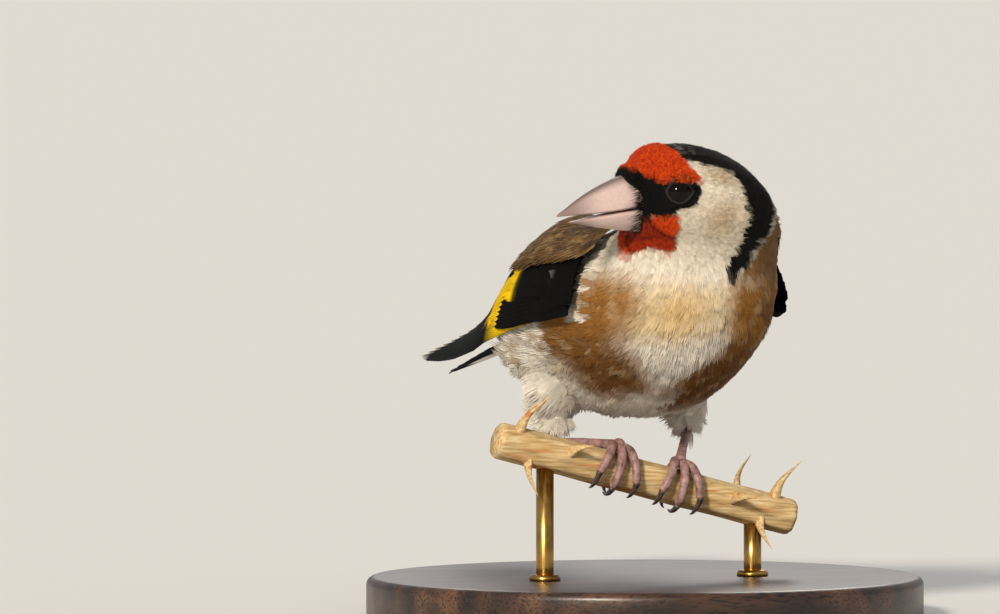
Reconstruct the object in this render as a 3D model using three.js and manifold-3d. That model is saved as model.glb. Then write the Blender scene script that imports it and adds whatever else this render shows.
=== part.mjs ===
// A still, life-size european goldfinch, gripping a short cut length of dry thistle
// stem that a plain display stand holds up. Millimetres, +Z up.
// The body faces -Y, so the bird's left side is +X, and the head is turned to its right.
// Heights are measured from the middle of the stem under the right foot, and the whole
// model is raised at the end, so that the origin is the middle of the base's underside.
import * as THREE from "three";
import { mergeVertices } from "three/addons/utils/BufferGeometryUtils.js";
import Module from "manifold-3d";

const wasm = await Module();
wasm.setup();

// Driving sizes
const GAP = 0.3; // between pieces that touch
const STEM_HEIGHT = 22; // middle of the stem under the right foot, above the floor
const STEM_RADIUS = 2.7;
const STEM_ENDS = [-25, 21]; // along X, from the bird's right to its left
const STEM_SLOPE = 15; // degrees, down towards the bird's left
const STEM_Y = -5;
const BASE_RADIUS = 41;
const BASE_THICKNESS = 6;
const ROD_RADIUS = 1.3;
const ROD_X = [-17.5, 15];
const SOCKET_DEPTH = 3;

const HEAD_PLACE = new THREE.Vector3(-1, -24, 41.2);
const HEAD_TURN = -80; // degrees about +Z, towards the bird's right
const EYE_RADIUS = 2.1;
const EYE_PLACE = new THREE.Vector3(5.8, -6.3, 0.9); // left eye, in the head's frame
const LID_RADIUS = 1.9;
const LID_THICKNESS = 0.45;

const TAIL_PLACE = new THREE.Vector3(0, 33, 20.4);
const TAIL_DROOP = 10; // degrees below the level
const TAIL_SWING = 5; // degrees towards the bird's left
const TAIL_LENGTH = 45;
const VANE_THICKNESS = 0.5;

const TARSUS_RADIUS = 0.72;
const TOE_RADIUS = 0.72;
const FOOT_RADIUS = 1.05; // ball that the toes spring from
const CLAW_RADIUS = 0.5;
const HEEL = { right: [-12, 7.4, 3.9], left: [9.5, 8, 5] };
const FOOT_X = { right: -7, left: 2.6 };

// Stations of the flesh, each row from one round pole to the other.
// Torso: along Y, top, underside, half width.
const TORSO_STATIONS = [
  [-29, 27, 27, 0],
  [-26.5, 33.5, 20.5, 8.6],
  [-21.5, 37.4, 15, 13],
  [-13.5, 38.4, 10.6, 15.6],
  [-4, 36.8, 8, 17.4],
  [6, 34.4, 7.4, 17.8],
  [16, 31.3, 9.2, 16.2],
  [25, 28.4, 12.4, 12.6],
  [33, 25.6, 15.4, 8.4],
  [40, 22.8, 16.8, 5],
  [43, 19.6, 19.6, 0],
];
const KEEL = 0.1; // how much the underside narrows
const FLANK = { swell: 3.4, along: 11, reach: 9, height: -0.58, spread: 0.45 };

// Neck: height, middle in X and Y, half width in X and Y.
const NECK_STATIONS = [
  [20, 0, -10, 0, 0],
  [25, 0, -12, 15, 14],
  [30.5, 0.6, -15.5, 14.4, 12.7],
  [35.5, 0.9, -20, 12.6, 11],
  [39.5, 0.6, -22.2, 10.2, 9.2],
  [43.5, 0.6, -23, 6.4, 6],
  [46, 0.6, -23, 0, 0],
];

// Head, in its own frame facing -Y: along Y, top, underside, half width.
const HEAD_STATIONS = [
  [-11.5, 0, 0, 0],
  [-10.9, 5, -4.6, 4],
  [-8.6, 7.4, -6.3, 6.2],
  [-5, 8, -7.6, 7.8],
  [-1, 7.8, -8.8, 8.8],
  [3.5, 6.5, -9.4, 9],
  [7.5, 4, -9.2, 8.2],
  [10.4, 0.6, -7.6, 5.6],
  [11.8, -3, -3, 0],
];

// Bill, in the head's frame: along Y, culmen or mouth line, mouth line or keel, half width.
const UPPER_BILL_STATIONS = [
  [-8, 1, 1, 0],
  [-9, 3.7, -0.9, 3],
  [-12, 3.4, -1.2, 3],
  [-15.5, 2.2, -1.7, 2.2],
  [-19, 0.5, -2.1, 1.2],
  [-21.8, -1.3, -2.4, 0.5],
  [-23.6, -2.7, -2.7, 0],
];
const LOWER_BILL_STATIONS = [
  [-8, -3.2, -3.2, 0],
  [-9, -1.8, -5, 2.7],
  [-12, -2.1, -4.9, 2.6],
  [-15.5, -2.6, -4.5, 1.9],
  [-19, -3.1, -3.9, 0.9],
  [-21.6, -3.5, -3.5, 0],
];

const rad = THREE.MathUtils.degToRad;
const vec = (x, y, z) => new THREE.Vector3(x, y, z);

// Smooth row of a station table at a share of its length. Past each end the table
// is mirrored through its pole, so that the surface closes round and not pointed.
function rowAt(table, share) {
  const last = table.length - 1;
  const place = Math.min(share * last, last - 1e-9);
  const i = Math.floor(place);
  const t = place - i;
  const past = (end, next) => end.map((v, c) => (c ? 2 * v - next[c] : next[c]));
  const row = (k) => {
    if (k < 0) return past(table[0], table[1]);
    return k > last ? past(table[last], table[last - 1]) : table[k];
  };
  return table[i].map((p1, c) => {
    const [p0, p2, p3] = [row(i - 1)[c], row(i + 1)[c], row(i + 2)[c]];
    const bend = 2 * p0 - 5 * p1 + 4 * p2 - p3;
    const twist = 3 * p1 - p0 - 3 * p2 + p3;
    return 0.5 * (2 * p1 + (p2 - p0) * t + bend * t * t + twist * t * t * t);
  });
}

// Closed solid from points and triangles, turned right side out.
function closed(points, faces) {
  let volume = 0;
  for (let f = 0; f < faces.length; f += 3) {
    const [a, b, c] = [points[faces[f]], points[faces[f + 1]], points[faces[f + 2]]];
    volume += a.dot(b.clone().cross(c));
  }
  const geometry = new THREE.BufferGeometry().setFromPoints(points);
  geometry.setIndex(volume < 0 ? faces.slice().reverse() : faces);
  return solidOf(geometry);
}

// three.js geometry as a manifold-3d solid.
function solidOf(geometry) {
  const bare = new THREE.BufferGeometry();
  bare.setAttribute("position", geometry.getAttribute("position"));
  bare.setIndex(geometry.index);
  const merged = mergeVertices(bare, 1e-4);
  return new wasm.Manifold(
    new wasm.Mesh({
      numProp: 3,
      vertProperties: new Float32Array(merged.attributes.position.array),
      triVerts: new Uint32Array(merged.index.array),
    }),
  );
}

// Solid through rings of points. A tip closes an end with a point, and an end without
// one is flat. On a thin blade both faces are split along the same diagonals.
function throughRings(rings, { startTip, endTip, blade = false } = {}) {
  const sides = rings[0].length;
  const points = rings.flat();
  const faces = [];
  for (let r = 0; r + 1 < rings.length; r += 1)
    for (let s = 0; s < sides; s += 1) {
      const [a, b] = [r * sides + s, r * sides + ((s + 1) % sides)];
      const [c, d] = [b + sides, a + sides];
      if (blade && s >= sides / 2) faces.push(a, b, d, b, c, d);
      else faces.push(a, b, c, a, c, d);
    }
  const close = (first, tip, flip) => {
    const middle = tip ? points.push(tip) - 1 : -1;
    for (let s = tip ? 0 : 1; s < (tip ? sides : sides - 1); s += 1) {
      const [a, b] = [first + s, first + ((s + 1) % sides)];
      const corner = tip ? middle : first;
      faces.push(...(flip ? [corner, b, a] : [corner, a, b]));
    }
  };
  close(0, startTip, true);
  close((rings.length - 1) * sides, endTip, false);
  return closed(points, faces);
}

// Solid lofted over a station table whose first and last rows are poles.
// pointAt turns a row and an angle into a point.
function loft(table, pointAt, { rings, sides }) {
  const made = [];
  for (let r = 1; r < rings; r += 1) {
    const row = rowAt(table, r / rings);
    made.push(
      Array.from({ length: sides }, (_, s) => pointAt(row, (s / sides) * 2 * Math.PI)),
    );
  }
  return throughRings(made, {
    startTip: pointAt(table[0], 0),
    endTip: pointAt(table.at(-1), 0),
  });
}

// Round-sectioned solid along a smooth curve through points, one radius for each point.
function taperedTube(points, radii, { steps, sides, tip = false, flat = 1 }) {
  const curve = new THREE.CatmullRomCurve3(points);
  const frames = curve.computeFrenetFrames(steps);
  const made = [];
  const last = tip ? steps - 1 : steps;
  for (let k = 0; k <= last; k += 1) {
    const t = k / steps;
    const place = t * (radii.length - 1);
    const i = Math.min(Math.floor(place), radii.length - 2);
    const radius = THREE.MathUtils.lerp(radii[i], radii[i + 1], place - i);
    const middle = curve.getPoint(t);
    made.push(
      Array.from({ length: sides }, (_, s) => {
        const angle = (s / sides) * 2 * Math.PI;
        return middle
          .clone()
          .addScaledVector(frames.normals[k], Math.cos(angle) * radius)
          .addScaledVector(frames.binormals[k], Math.sin(angle) * radius * flat);
      }),
    );
  }
  return throughRings(made, tip ? { endTip: points.at(-1) } : {});
}

const joined = (solids) => wasm.Manifold.union(solids);

// The largest closed body of a solid, with any loose scrap left out.
function largest(solid) {
  return solid.decompose().sort((a, b) => b.volume() - a.volume())[0];
}

function placed(solid, matrix) {
  return solid.transform(matrix.elements);
}

function sphere(radius, middle) {
  const ball = solidOf(new THREE.SphereGeometry(radius, 14, 8));
  return ball.translate(middle.toArray());
}

// Flesh sections. Each takes grow, which swells the flesh so that neighbours keep clear.
function torsoPoint([along, top, under, half], angle, grow) {
  const side = Math.cos(angle);
  const up = Math.sin(angle);
  const round = half ? grow : 0;
  const narrow = 1 - KEEL * Math.max(0, -up);
  const near = Math.exp(-(((along - FLANK.along) / FLANK.reach) ** 2));
  const low = Math.exp(-(((up - FLANK.height) / FLANK.spread) ** 2));
  const swell = half ? FLANK.swell * near * low : 0;
  const reach = (half + round) * narrow + swell;
  return vec(side * reach, along, (top + under) / 2 + up * ((top - under) / 2 + round));
}

function torsoLoft(grow = 0) {
  const section = (row, angle) => torsoPoint(row, angle, grow);
  return loft(TORSO_STATIONS, section, { rings: 22, sides: 24 });
}

function neckLoft(grow = 0) {
  const section = ([height, x, y, halfX, halfY], angle) => {
    const round = halfX ? grow : 0;
    const [outX, outY] = [halfX + round, halfY + round];
    return vec(x + Math.cos(angle) * outX, y + Math.sin(angle) * outY, height);
  };
  return loft(NECK_STATIONS, section, { rings: 10, sides: 20 });
}

function headLoft(grow = 0) {
  const section = ([along, top, under, half], angle) => {
    const round = half ? grow : 0;
    const middle = (top + under) / 2;
    const x = Math.cos(angle) * (half + round);
    return vec(x, along - round, middle + Math.sin(angle) * (middle - under + round));
  };
  return loft(HEAD_STATIONS, section, { rings: 16, sides: 20 });
}

const headMatrix = new THREE.Matrix4()
  .makeRotationZ(rad(HEAD_TURN))
  .setPosition(HEAD_PLACE);

const eyePlace = (side) => vec(EYE_PLACE.x * side, EYE_PLACE.y, EYE_PLACE.z);

// Direction that an eye looks in: sideways and a little forward.
const eyeLook = (side) => vec(0.92 * side, -0.38, 0.05).normalize();

// Raised ring of lid round an eye, in the head's frame.
function lidRing(side) {
  const ring = solidOf(new THREE.TorusGeometry(LID_RADIUS, LID_THICKNESS, 6, 14));
  const turn = new THREE.Quaternion().setFromUnitVectors(vec(0, 0, 1), eyeLook(side));
  const middle = eyePlace(side).addScaledVector(eyeLook(side), 1.35);
  return placed(ring, new THREE.Matrix4().compose(middle, turn, vec(1, 1, 1)));
}

// Head, neck and torso, modelled whole and parted with two thin cuts.
function fleshParts() {
  const lids = joined([-1, 1].map(lidRing));
  const sockets = joined([-1, 1].map((side) => sphere(EYE_RADIUS + GAP, eyePlace(side))));
  const head = placed(headLoft().add(lids), headMatrix);
  const whole = joined([torsoLoft(), neckLoft(), head]).subtract(placed(sockets, headMatrix));
  const cut = (normal, through) => {
    const way = normal.clone().normalize();
    return { way: way.toArray(), offset: way.dot(through) };
  };
  const neckFoot = cut(vec(0, -0.45, 0.9), vec(0, -14, 32));
  const neckTop = cut(vec(0, -0.22, 0.97), vec(0, -23, 34.6));
  const over = ({ way, offset }) => (s) => s.trimByPlane(way, offset + GAP / 2);
  const under = ({ way, offset }) => (s) =>
    s.trimByPlane(way.map((v) => -v), GAP / 2 - offset);
  return {
    torso: largest(under(neckFoot)(whole)),
    neck: largest(under(neckTop)(over(neckFoot)(whole))),
    head: largest(over(neckTop)(whole)),
  };
}

// Bill halves: a ridge above the mouth line, or a keel below it.
function billHalf(stations, upper) {
  const section = ([along, top, under, half], angle) => {
    const turn = upper ? Math.sin(angle) : -Math.sin(angle);
    const deep = top - under;
    const reach = Math.cos(angle) * half * (1 - 0.3 * Math.max(0, turn));
    const mouth = upper ? under : top;
    const rise = turn > 0 ? turn * deep : turn * 0.12 * deep;
    return vec(reach, along, mouth + (upper ? rise : -rise));
  };
  return loft(stations, section, { rings: 10, sides: 10 });
}

function bill() {
  const clear = headLoft(GAP);
  const nostrils = [-1, 1].map((side) => sphere(0.42, vec(2.45 * side, -12.7, 1.9)));
  const upper = billHalf(UPPER_BILL_STATIONS, true).subtract(joined(nostrils));
  return {
    upper: largest(upper.subtract(clear)),
    lower: largest(billHalf(LOWER_BILL_STATIONS, false).subtract(clear)),
  };
}

// Thin blade of a feather on a sheet. A sheet turns millimetres along and across it,
// and a lift off it, into a point. The blade widens from its root and rounds to its
// tip, and its shingle raises its lower edge over the next blade.
function vane(sheet, { from, to, half, lift = 0, shingle = 0, steps = 5, tip = 0.35 }) {
  const rings = [];
  for (let k = 0; k <= steps; k += 1) {
    const t = 1 - (1 - k / steps) ** 1.25;
    const along = THREE.MathUtils.lerp(from[0], to[0], t);
    const across = THREE.MathUtils.lerp(from[1], to[1], t);
    const blunt = Math.sqrt(Math.max(0, 1 - ((t - 0.62) / 0.38) ** 2));
    const reach = t < 0.62 ? half * (0.6 + 0.645 * t) : Math.max(tip, half * blunt);
    const tilt = (shingle * reach) / half;
    const edge = (side, face) =>
      sheet(along, across + side * reach, lift + (face * VANE_THICKNESS) / 2 - side * tilt);
    rings.push([edge(-1, 1), edge(1, 1), edge(1, -1), edge(-1, -1)]);
  }
  return throughRings(rings, { blade: true });
}

// Closed plate over a region of a sheet, between two edges that are functions of the
// distance along it.
function plate(sheet, { from, to, low, high, lift, thick, steps = 8, strips = 5 }) {
  const rings = [];
  for (let k = 0; k <= steps; k += 1) {
    const along = THREE.MathUtils.lerp(from, to, k / steps);
    const row = (face) =>
      Array.from({ length: strips + 1 }, (_, s) => {
        const across = THREE.MathUtils.lerp(low(along), high(along), s / strips);
        return sheet(along, across, lift + (face * thick) / 2);
      });
    rings.push([...row(1), ...row(-1).reverse()]);
  }
  return throughRings(rings, { blade: true });
}

// Folded left wing: the sheet it lies on. Each row gives a place along Y, the lower
// edge in X and Z, the lean of the sheet there and the radius that it curls in with.
// The rows are evenly spaced, and one at each end only shapes the curve.
const WING_STATIONS = [
  [-36, 11.5, 26, 0, 12],
  [-24, 13.9, 24.5, 0, 13],
  [-12, 16.4, 22.7, 0, 15],
  [0, 18.5, 21.3, 0, 16.6],
  [12, 19.3, 19, 4, 17],
  [24, 18, 16.7, 19, 16.5],
  [36, 16.6, 14.9, 34, 20],
  [48, 15.3, 13.7, 44, 24],
  [60, 14, 12.7, 48, 28],
  [72, 12.7, 11.8, 50, 30],
];

function wingSheet(along, across, lift) {
  const [first, last] = [WING_STATIONS[0][0], WING_STATIONS.at(-1)[0]];
  const share = (along - first) / (last - first);
  const [, x, z, lean, curl] = rowAt(WING_STATIONS, share);
  const start = rad(lean);
  const angle = start + across / curl;
  return vec(
    x + curl * (Math.cos(angle) - Math.cos(start)) + lift * Math.cos(angle),
    along,
    z + curl * (Math.sin(angle) - Math.sin(start)) + lift * Math.sin(angle),
  );
}

// Tiers of a folded wing, lowest first. Root and tip each give the place along and
// across the sheet of the tier's first and last feather, and the tips follow a power
// curve between them.
const WING_TIERS = [
  { name: "primaries", count: 9, root: [[-9, 1.8], [-3, 5.4]], tip: [[60, 1.2], [35, 6.6]],
    half: 2, lift: 0, curve: 1.35, steps: 5 },
  { name: "secondaries", count: 5, root: [[-2, 6.4], [2, 10]], tip: [[33, 7.6], [29.5, 11]],
    half: 2.3, lift: 0.12, curve: 1, steps: 4 },
  { name: "tertials", count: 3, root: [[2, 11], [5, 14.6]], tip: [[32, 12], [20.5, 15.4]],
    half: 3, lift: 0.3, curve: 1, steps: 4 },
  { name: "primary_coverts", count: 4, root: [[-11, 1.6], [-8, 4.4]], tip: [[8, 1.5], [6, 5.2]],
    half: 1.5, lift: 0.45, curve: 1, steps: 3 },
  { name: "greater_coverts", count: 7, root: [[-9, 5], [-3, 14.8]], tip: [[5, 5.8], [10, 15.4]],
    half: 1.7, lift: 0.62, curve: 1, steps: 3 },
  { name: "alula", count: 2, root: [[-13.5, 1.6], [-13, 2.8]], tip: [[-1.5, 1.7], [-4, 3.4]],
    half: 1.4, lift: 0.95, curve: 1, steps: 3 },
  { name: "median_coverts", count: 5, root: [[-13, 4.6], [-9, 14]], tip: [[-4, 5.2], [1.5, 14.8]],
    half: 2.1, lift: 0.95, curve: 1, steps: 3 },
];
const SHINGLE = 0.22;

// Left wing. The right one is its mirror image.
function wing(clear) {
  const pad = plate(wingSheet, {
    from: -14.5,
    to: 16,
    low: () => 1.2,
    high: (along) => 15.6 - 0.02 * Math.max(0, along),
    lift: -0.35,
    thick: 0.9,
    steps: 5,
    strips: 4,
  });
  const feathers = WING_TIERS.flatMap(({ count, root, tip, half, lift, curve, steps }) =>
    Array.from({ length: count }, (_, k) => {
      const share = count > 1 ? k / (count - 1) : 0;
      const mix = ([first, last], power) => [
        THREE.MathUtils.lerp(first[0], last[0], share ** power),
        THREE.MathUtils.lerp(first[1], last[1], share),
      ];
      return vane(wingSheet, {
        from: mix(root, 1),
        to: mix(tip, curve),
        half,
        lift: lift + 0.1 * share,
        shingle: SHINGLE,
        steps,
      });
    }),
  );
  return largest(joined([pad, ...feathers]).subtract(clear));
}

// Sheet of the tail: level across its middle, its sides drooping like a low roof.
function tailSheet(along, across, lift) {
  const droop = rad(TAIL_DROOP);
  const height = lift - 0.03 * across * across;
  const point = vec(
    across,
    along * Math.cos(droop) + height * Math.sin(droop),
    height * Math.cos(droop) - along * Math.sin(droop),
  );
  return point.applyAxisAngle(vec(0, 0, 1), rad(-TAIL_SWING)).add(TAIL_PLACE);
}

// Tail feathers in pairs, the middle pair on top and the outer ones longer, so that
// the tail is forked.
const TAIL_PAIRS = 6;

function tail(clear) {
  const core = plate(tailSheet, {
    from: 0,
    to: 14,
    low: (along) => -2.6 - 0.03 * along,
    high: (along) => 2.6 + 0.03 * along,
    lift: -0.75,
    thick: 1.7,
    steps: 2,
    strips: 4,
  });
  const feathers = Array.from({ length: TAIL_PAIRS }, (_, k) =>
    [-1, 1].map((side) =>
      vane(tailSheet, {
        from: [2, side * (0.4 + 0.3 * k)],
        to: [TAIL_LENGTH - 1.6 + 0.75 * k, side * (0.9 + 0.92 * k)],
        half: 2.3,
        lift: -0.27 * k,
        shingle: 0.06 * side,
      }),
    ),
  ).flat();
  return largest(joined([core, ...feathers]).subtract(clear));
}

// Stem: its run, and the two ways square to it in which a foot can lie.
const stemAngle = rad(STEM_SLOPE);
const stemWay = vec(Math.cos(stemAngle), 0, -Math.sin(stemAngle));
const stemUp = vec(Math.sin(stemAngle), 0, Math.cos(stemAngle));
const stemFront = vec(0, -1, 0);
const stemMiddle = (x) =>
  vec(x, STEM_Y, -(x - FOOT_X.right) * Math.tan(stemAngle));

// Point beside the stem: along it from a place in X, round it from its top towards
// the front, and out from its middle.
function besideStem(x, along, round, out) {
  return stemMiddle(x)
    .addScaledVector(stemWay, along)
    .addScaledVector(stemUp, Math.cos(round) * out)
    .addScaledVector(stemFront, Math.sin(round) * out);
}

function stemRod(radius, flutes) {
  const rings = STEM_ENDS.map((x, end) =>
    Array.from({ length: 2 * flutes }, (_, s) => {
      const groove = s % 2 ? 0.94 : 1;
      const angle = (s / flutes) * Math.PI;
      return besideStem(x, end ? 0.6 * Math.cos(angle) : 0, angle, radius * groove);
    }),
  );
  return throughRings(rings);
}

// Spines stand in pairs where no toe grips: place in X, turn round the stem, length.
const SPINES = [
  [-22.5, 0.5, 6.5],
  [-20, 2.6, 5],
  [-18.5, -1.3, 6],
  [-14.5, 1.2, 4.5],
  [11, 1.4, 5],
  [12.5, -0.6, 6.5],
  [16, 2.4, 4.5],
  [17.5, 0.3, 6],
];

function stem() {
  const spines = SPINES.map(([x, round, length]) =>
    taperedTube(
      [
        besideStem(x, 0, round, STEM_RADIUS - 1.4),
        besideStem(x, 0.3, round, STEM_RADIUS + 0.4 * length),
        besideStem(x, 0.35 * length, round, STEM_RADIUS + length),
      ],
      [1.15, 0.75, 0.1],
      { steps: 4, sides: 6, tip: true, flat: 0.6 },
    ),
  );
  return joined([stemRod(STEM_RADIUS, 8), ...spines]);
}

// Feet. Three toes go over the front of the stem and one over the back: place along
// the stem at the foot and at the claw, and how far round the toe and claw reach.
const TOES = [
  { name: "inner", start: -0.9, end: -3.2, wrap: 105, hook: 165 },
  { name: "middle", start: 0, end: -0.3, wrap: 135, hook: 195 },
  { name: "outer", start: 0.9, end: 2.9, wrap: 110, hook: 165 },
  { name: "hind", start: 0, end: 0.3, wrap: -95, hook: -165 },
];
const TOE_PATH = STEM_RADIUS + GAP + TOE_RADIUS;
const CLAW_PATH = STEM_RADIUS + GAP + CLAW_RADIUS;

function toeTube(x, mirror, { start, end, wrap }, grow = 0) {
  const points = [0.06, 0.3, 0.55, 0.8, 1].map((t) =>
    besideStem(x, mirror * THREE.MathUtils.lerp(start, end, t), rad(wrap) * t, TOE_PATH),
  );
  const radii = [1, 0.9, 1.02, 0.85, 0.8].map((share) => share * TOE_RADIUS + grow);
  return taperedTube(points, radii, { steps: 7, sides: 6 });
}

function claw(x, mirror, { end, wrap, hook }) {
  const sink = (wrap > 0 ? 1 : -1) * (GAP + 0.05) * (180 / Math.PI / TOE_PATH);
  const points = [0, 0.35, 0.7, 1].map((t) =>
    besideStem(
      x,
      mirror * end,
      rad(THREE.MathUtils.lerp(wrap + sink, hook, t)),
      CLAW_PATH + 0.45 * (1 - t),
    ),
  );
  return taperedTube(points, [CLAW_RADIUS, 0.42, 0.28, 0.06], { steps: 5, sides: 6, tip: true });
}

function leg(side, clear) {
  const mirror = side === "left" ? -1 : 1;
  const heel = vec(...HEEL[side]);
  const out = Math.sign(heel.x);
  const ball = besideStem(FOOT_X[side], 0, 0, TOE_PATH + 0.1);
  const shin = taperedTube(
    [
      vec(heel.x - 0.6 * out, heel.y - 3, heel.z + 10),
      vec(heel.x - 0.2 * out, heel.y - 1, heel.z + 5.5),
      vec(heel.x, heel.y + 0.2, heel.z + 0.4),
    ],
    [5.2, 3.4, 1.1],
    { steps: 7, sides: 12 },
  ).subtract(clear);
  const way = ball.clone().sub(heel).normalize();
  const bend = heel.clone().addScaledVector(way, 1).add(vec(0, 0, -0.2));
  const tarsus = taperedTube(
    [heel.clone().add(vec(0, 0.1, -0.3)), bend, heel.clone().lerp(ball, 0.5), ball],
    [1, 0.8, 0.85, 0.9].map((share) => share * TARSUS_RADIUS),
    { steps: 6, sides: 8 },
  );
  const footWith = (grow) => {
    const toes = TOES.map((toe) => toeTube(FOOT_X[side], mirror, toe, grow));
    return joined([sphere(FOOT_RADIUS + grow, ball), ...toes]);
  };
  return {
    shin: largest(shin),
    tarsus: largest(tarsus.subtract(joined([footWith(GAP), sphere(1.4, heel)]))),
    foot: largest(footWith(0)),
    claws: TOES.map((toe) => claw(FOOT_X[side], mirror, toe)),
  };
}

// Display stand: a round base with a softened rim, and two rods in drilled sockets.
function rodColumn(x, radius, bottom, top) {
  const column = new THREE.CylinderGeometry(radius, radius, top - bottom, 16);
  column.rotateX(Math.PI / 2);
  return solidOf(column).translate([x, STEM_Y, (bottom + top) / 2]);
}

function standParts() {
  const bottom = -STEM_HEIGHT;
  const top = bottom + BASE_THICKNESS;
  const edge = 1.2;
  const outline = [
    [0, bottom],
    [BASE_RADIUS - 0.6, bottom],
    [BASE_RADIUS, bottom + 0.6],
    [BASE_RADIUS, top - edge],
    [BASE_RADIUS - 0.3 * edge, top - 0.3 * edge],
    [BASE_RADIUS - edge, top],
    [0, top],
  ].map(([r, z]) => new THREE.Vector2(r, z));
  const disc = new THREE.LatheGeometry(outline, 48);
  disc.rotateX(Math.PI / 2);
  const floor = top - SOCKET_DEPTH;
  const holes = ROD_X.map((x) => rodColumn(x, ROD_RADIUS + GAP, floor, top + 1));
  const clear = stemRod(STEM_RADIUS + GAP, 8);
  return {
    base: solidOf(disc).subtract(joined(holes)),
    rods: ROD_X.map((x) =>
      largest(rodColumn(x, ROD_RADIUS, floor + GAP, stemMiddle(x).z).subtract(clear)),
    ),
  };
}

// Finishes
const finish = (color, roughness, metalness = 0) =>
  new THREE.MeshStandardMaterial({ color, roughness, metalness });
const finishes = {
  torso: finish(0xa8794a, 0.9),
  head: finish(0xd8c7a8, 0.9),
  wing: finish(0x17150f, 0.75),
  bill: finish(0xd9bfb4, 0.45),
  eye: finish(0x120a08, 0.1),
  leg: finish(0x8d6a62, 0.6),
  claw: finish(0x3c2e2b, 0.45),
  down: finish(0xe6ddcf, 0.95),
  stem: finish(0xb59462, 0.85),
  wood: finish(0x3d2517, 0.5),
  brass: finish(0xb28a45, 0.3, 1),
};

// The model
const model = new THREE.Group();
const raised = new THREE.Group();
raised.position.z = STEM_HEIGHT;
model.add(raised);

function addNode(name, solid, material, parent = raised) {
  const { vertProperties, triVerts } = solid.getMesh();
  const geometry = new THREE.BufferGeometry();
  geometry.setAttribute("position", new THREE.BufferAttribute(vertProperties, 3));
  geometry.setIndex(new THREE.BufferAttribute(triVerts, 1));
  geometry.computeVertexNormals();
  const mesh = new THREE.Mesh(geometry, material);
  mesh.name = name;
  parent.add(mesh);
}

const flesh = fleshParts();
addNode("torso", flesh.torso, finishes.torso);
addNode("neck", flesh.neck, finishes.torso);
addNode("head", flesh.head, finishes.head);

const headGroup = new THREE.Group();
headGroup.position.copy(HEAD_PLACE);
headGroup.rotation.z = rad(HEAD_TURN);
raised.add(headGroup);
const { upper, lower } = bill();
addNode("bill_upper", upper, finishes.bill, headGroup);
addNode("bill_lower", lower, finishes.bill, headGroup);
addNode("eye_left", sphere(EYE_RADIUS, eyePlace(1)), finishes.eye, headGroup);
addNode("eye_right", sphere(EYE_RADIUS, eyePlace(-1)), finishes.eye, headGroup);

const clearance = GAP + 0.05;
const clearOfTorso = joined([torsoLoft(clearance), neckLoft(clearance)]);
for (const side of ["left", "right"]) {
  const { shin, tarsus, foot, claws } = leg(side, clearOfTorso);
  addNode(`shin_${side}`, shin, finishes.down);
  addNode(`tarsus_${side}`, tarsus, finishes.leg);
  addNode(`foot_${side}`, foot, finishes.leg);
  TOES.forEach(({ name }, i) => addNode(`claw_${side}_${name}`, claws[i], finishes.claw));
}

const leftWing = wing(clearOfTorso);
addNode("wing_left", leftWing, finishes.wing);
addNode("wing_right", leftWing.mirror([1, 0, 0]), finishes.wing);
addNode("tail", tail(clearOfTorso), finishes.wing);

addNode("thistle_stem", stem(), finishes.stem);
const { base, rods } = standParts();
addNode("stand_base", base, finishes.wood);
rods.forEach((rod, i) => addNode(`stand_rod_${i + 1}`, rod, finishes.brass));

export default model;
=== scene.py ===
"""Looks of the goldfinch model: one skin with a coat of mesh feathers, feathered wings
and tail, bill, eyes, scaly legs, the dry stem and the wood and brass stand."""

import math

import bmesh
import bpy
import numpy as np
from mathutils import Matrix, Vector
from mathutils.bvhtree import BVHTree


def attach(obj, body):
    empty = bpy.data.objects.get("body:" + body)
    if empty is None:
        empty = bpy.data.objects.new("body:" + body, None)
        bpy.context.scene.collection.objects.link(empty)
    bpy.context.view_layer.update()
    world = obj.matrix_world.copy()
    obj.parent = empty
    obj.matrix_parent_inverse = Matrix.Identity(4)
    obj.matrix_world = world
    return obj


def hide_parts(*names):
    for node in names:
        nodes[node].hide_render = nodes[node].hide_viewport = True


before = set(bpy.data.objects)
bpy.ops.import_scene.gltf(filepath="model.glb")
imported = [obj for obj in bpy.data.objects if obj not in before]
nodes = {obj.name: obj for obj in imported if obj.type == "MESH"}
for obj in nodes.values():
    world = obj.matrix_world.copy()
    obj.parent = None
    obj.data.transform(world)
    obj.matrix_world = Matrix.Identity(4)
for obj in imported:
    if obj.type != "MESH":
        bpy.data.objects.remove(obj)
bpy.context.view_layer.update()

MM = 0.001

# Camera and picture, with places in the picture in pixels
PIXELS_PER_MM = 6.8
PICTURE = (1000, 614)
SENSOR_WIDTH = 36.0
ORIGIN_COLUMN = 645  # where the middle of the base stands
STEM_ROW = 470  # where the stem under the right foot lies
CAMERA_AZIMUTH = -20.0
CAMERA_ELEVATION = 3.0
CAMERA_DISTANCE = 4000.0
FLOOR_RADIUS = 60.0  # metres, past what the low camera sees
FLOOR_COLOUR = "#dedbd4"
SUNS = (  # name, way to it, strength, width in degrees, colour
    ("key", (-0.64, -0.72, 0.46), 3.4, 9, (1.0, 0.92, 0.8)),
    ("rim", (0.35, 0.8, 0.6), 0.8, 25, (1.0, 0.95, 0.88)),
)
SKY_COLOUR = (0.88, 0.92, 1.0, 1.0)
SKY_STRENGTH = 0.42

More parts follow.
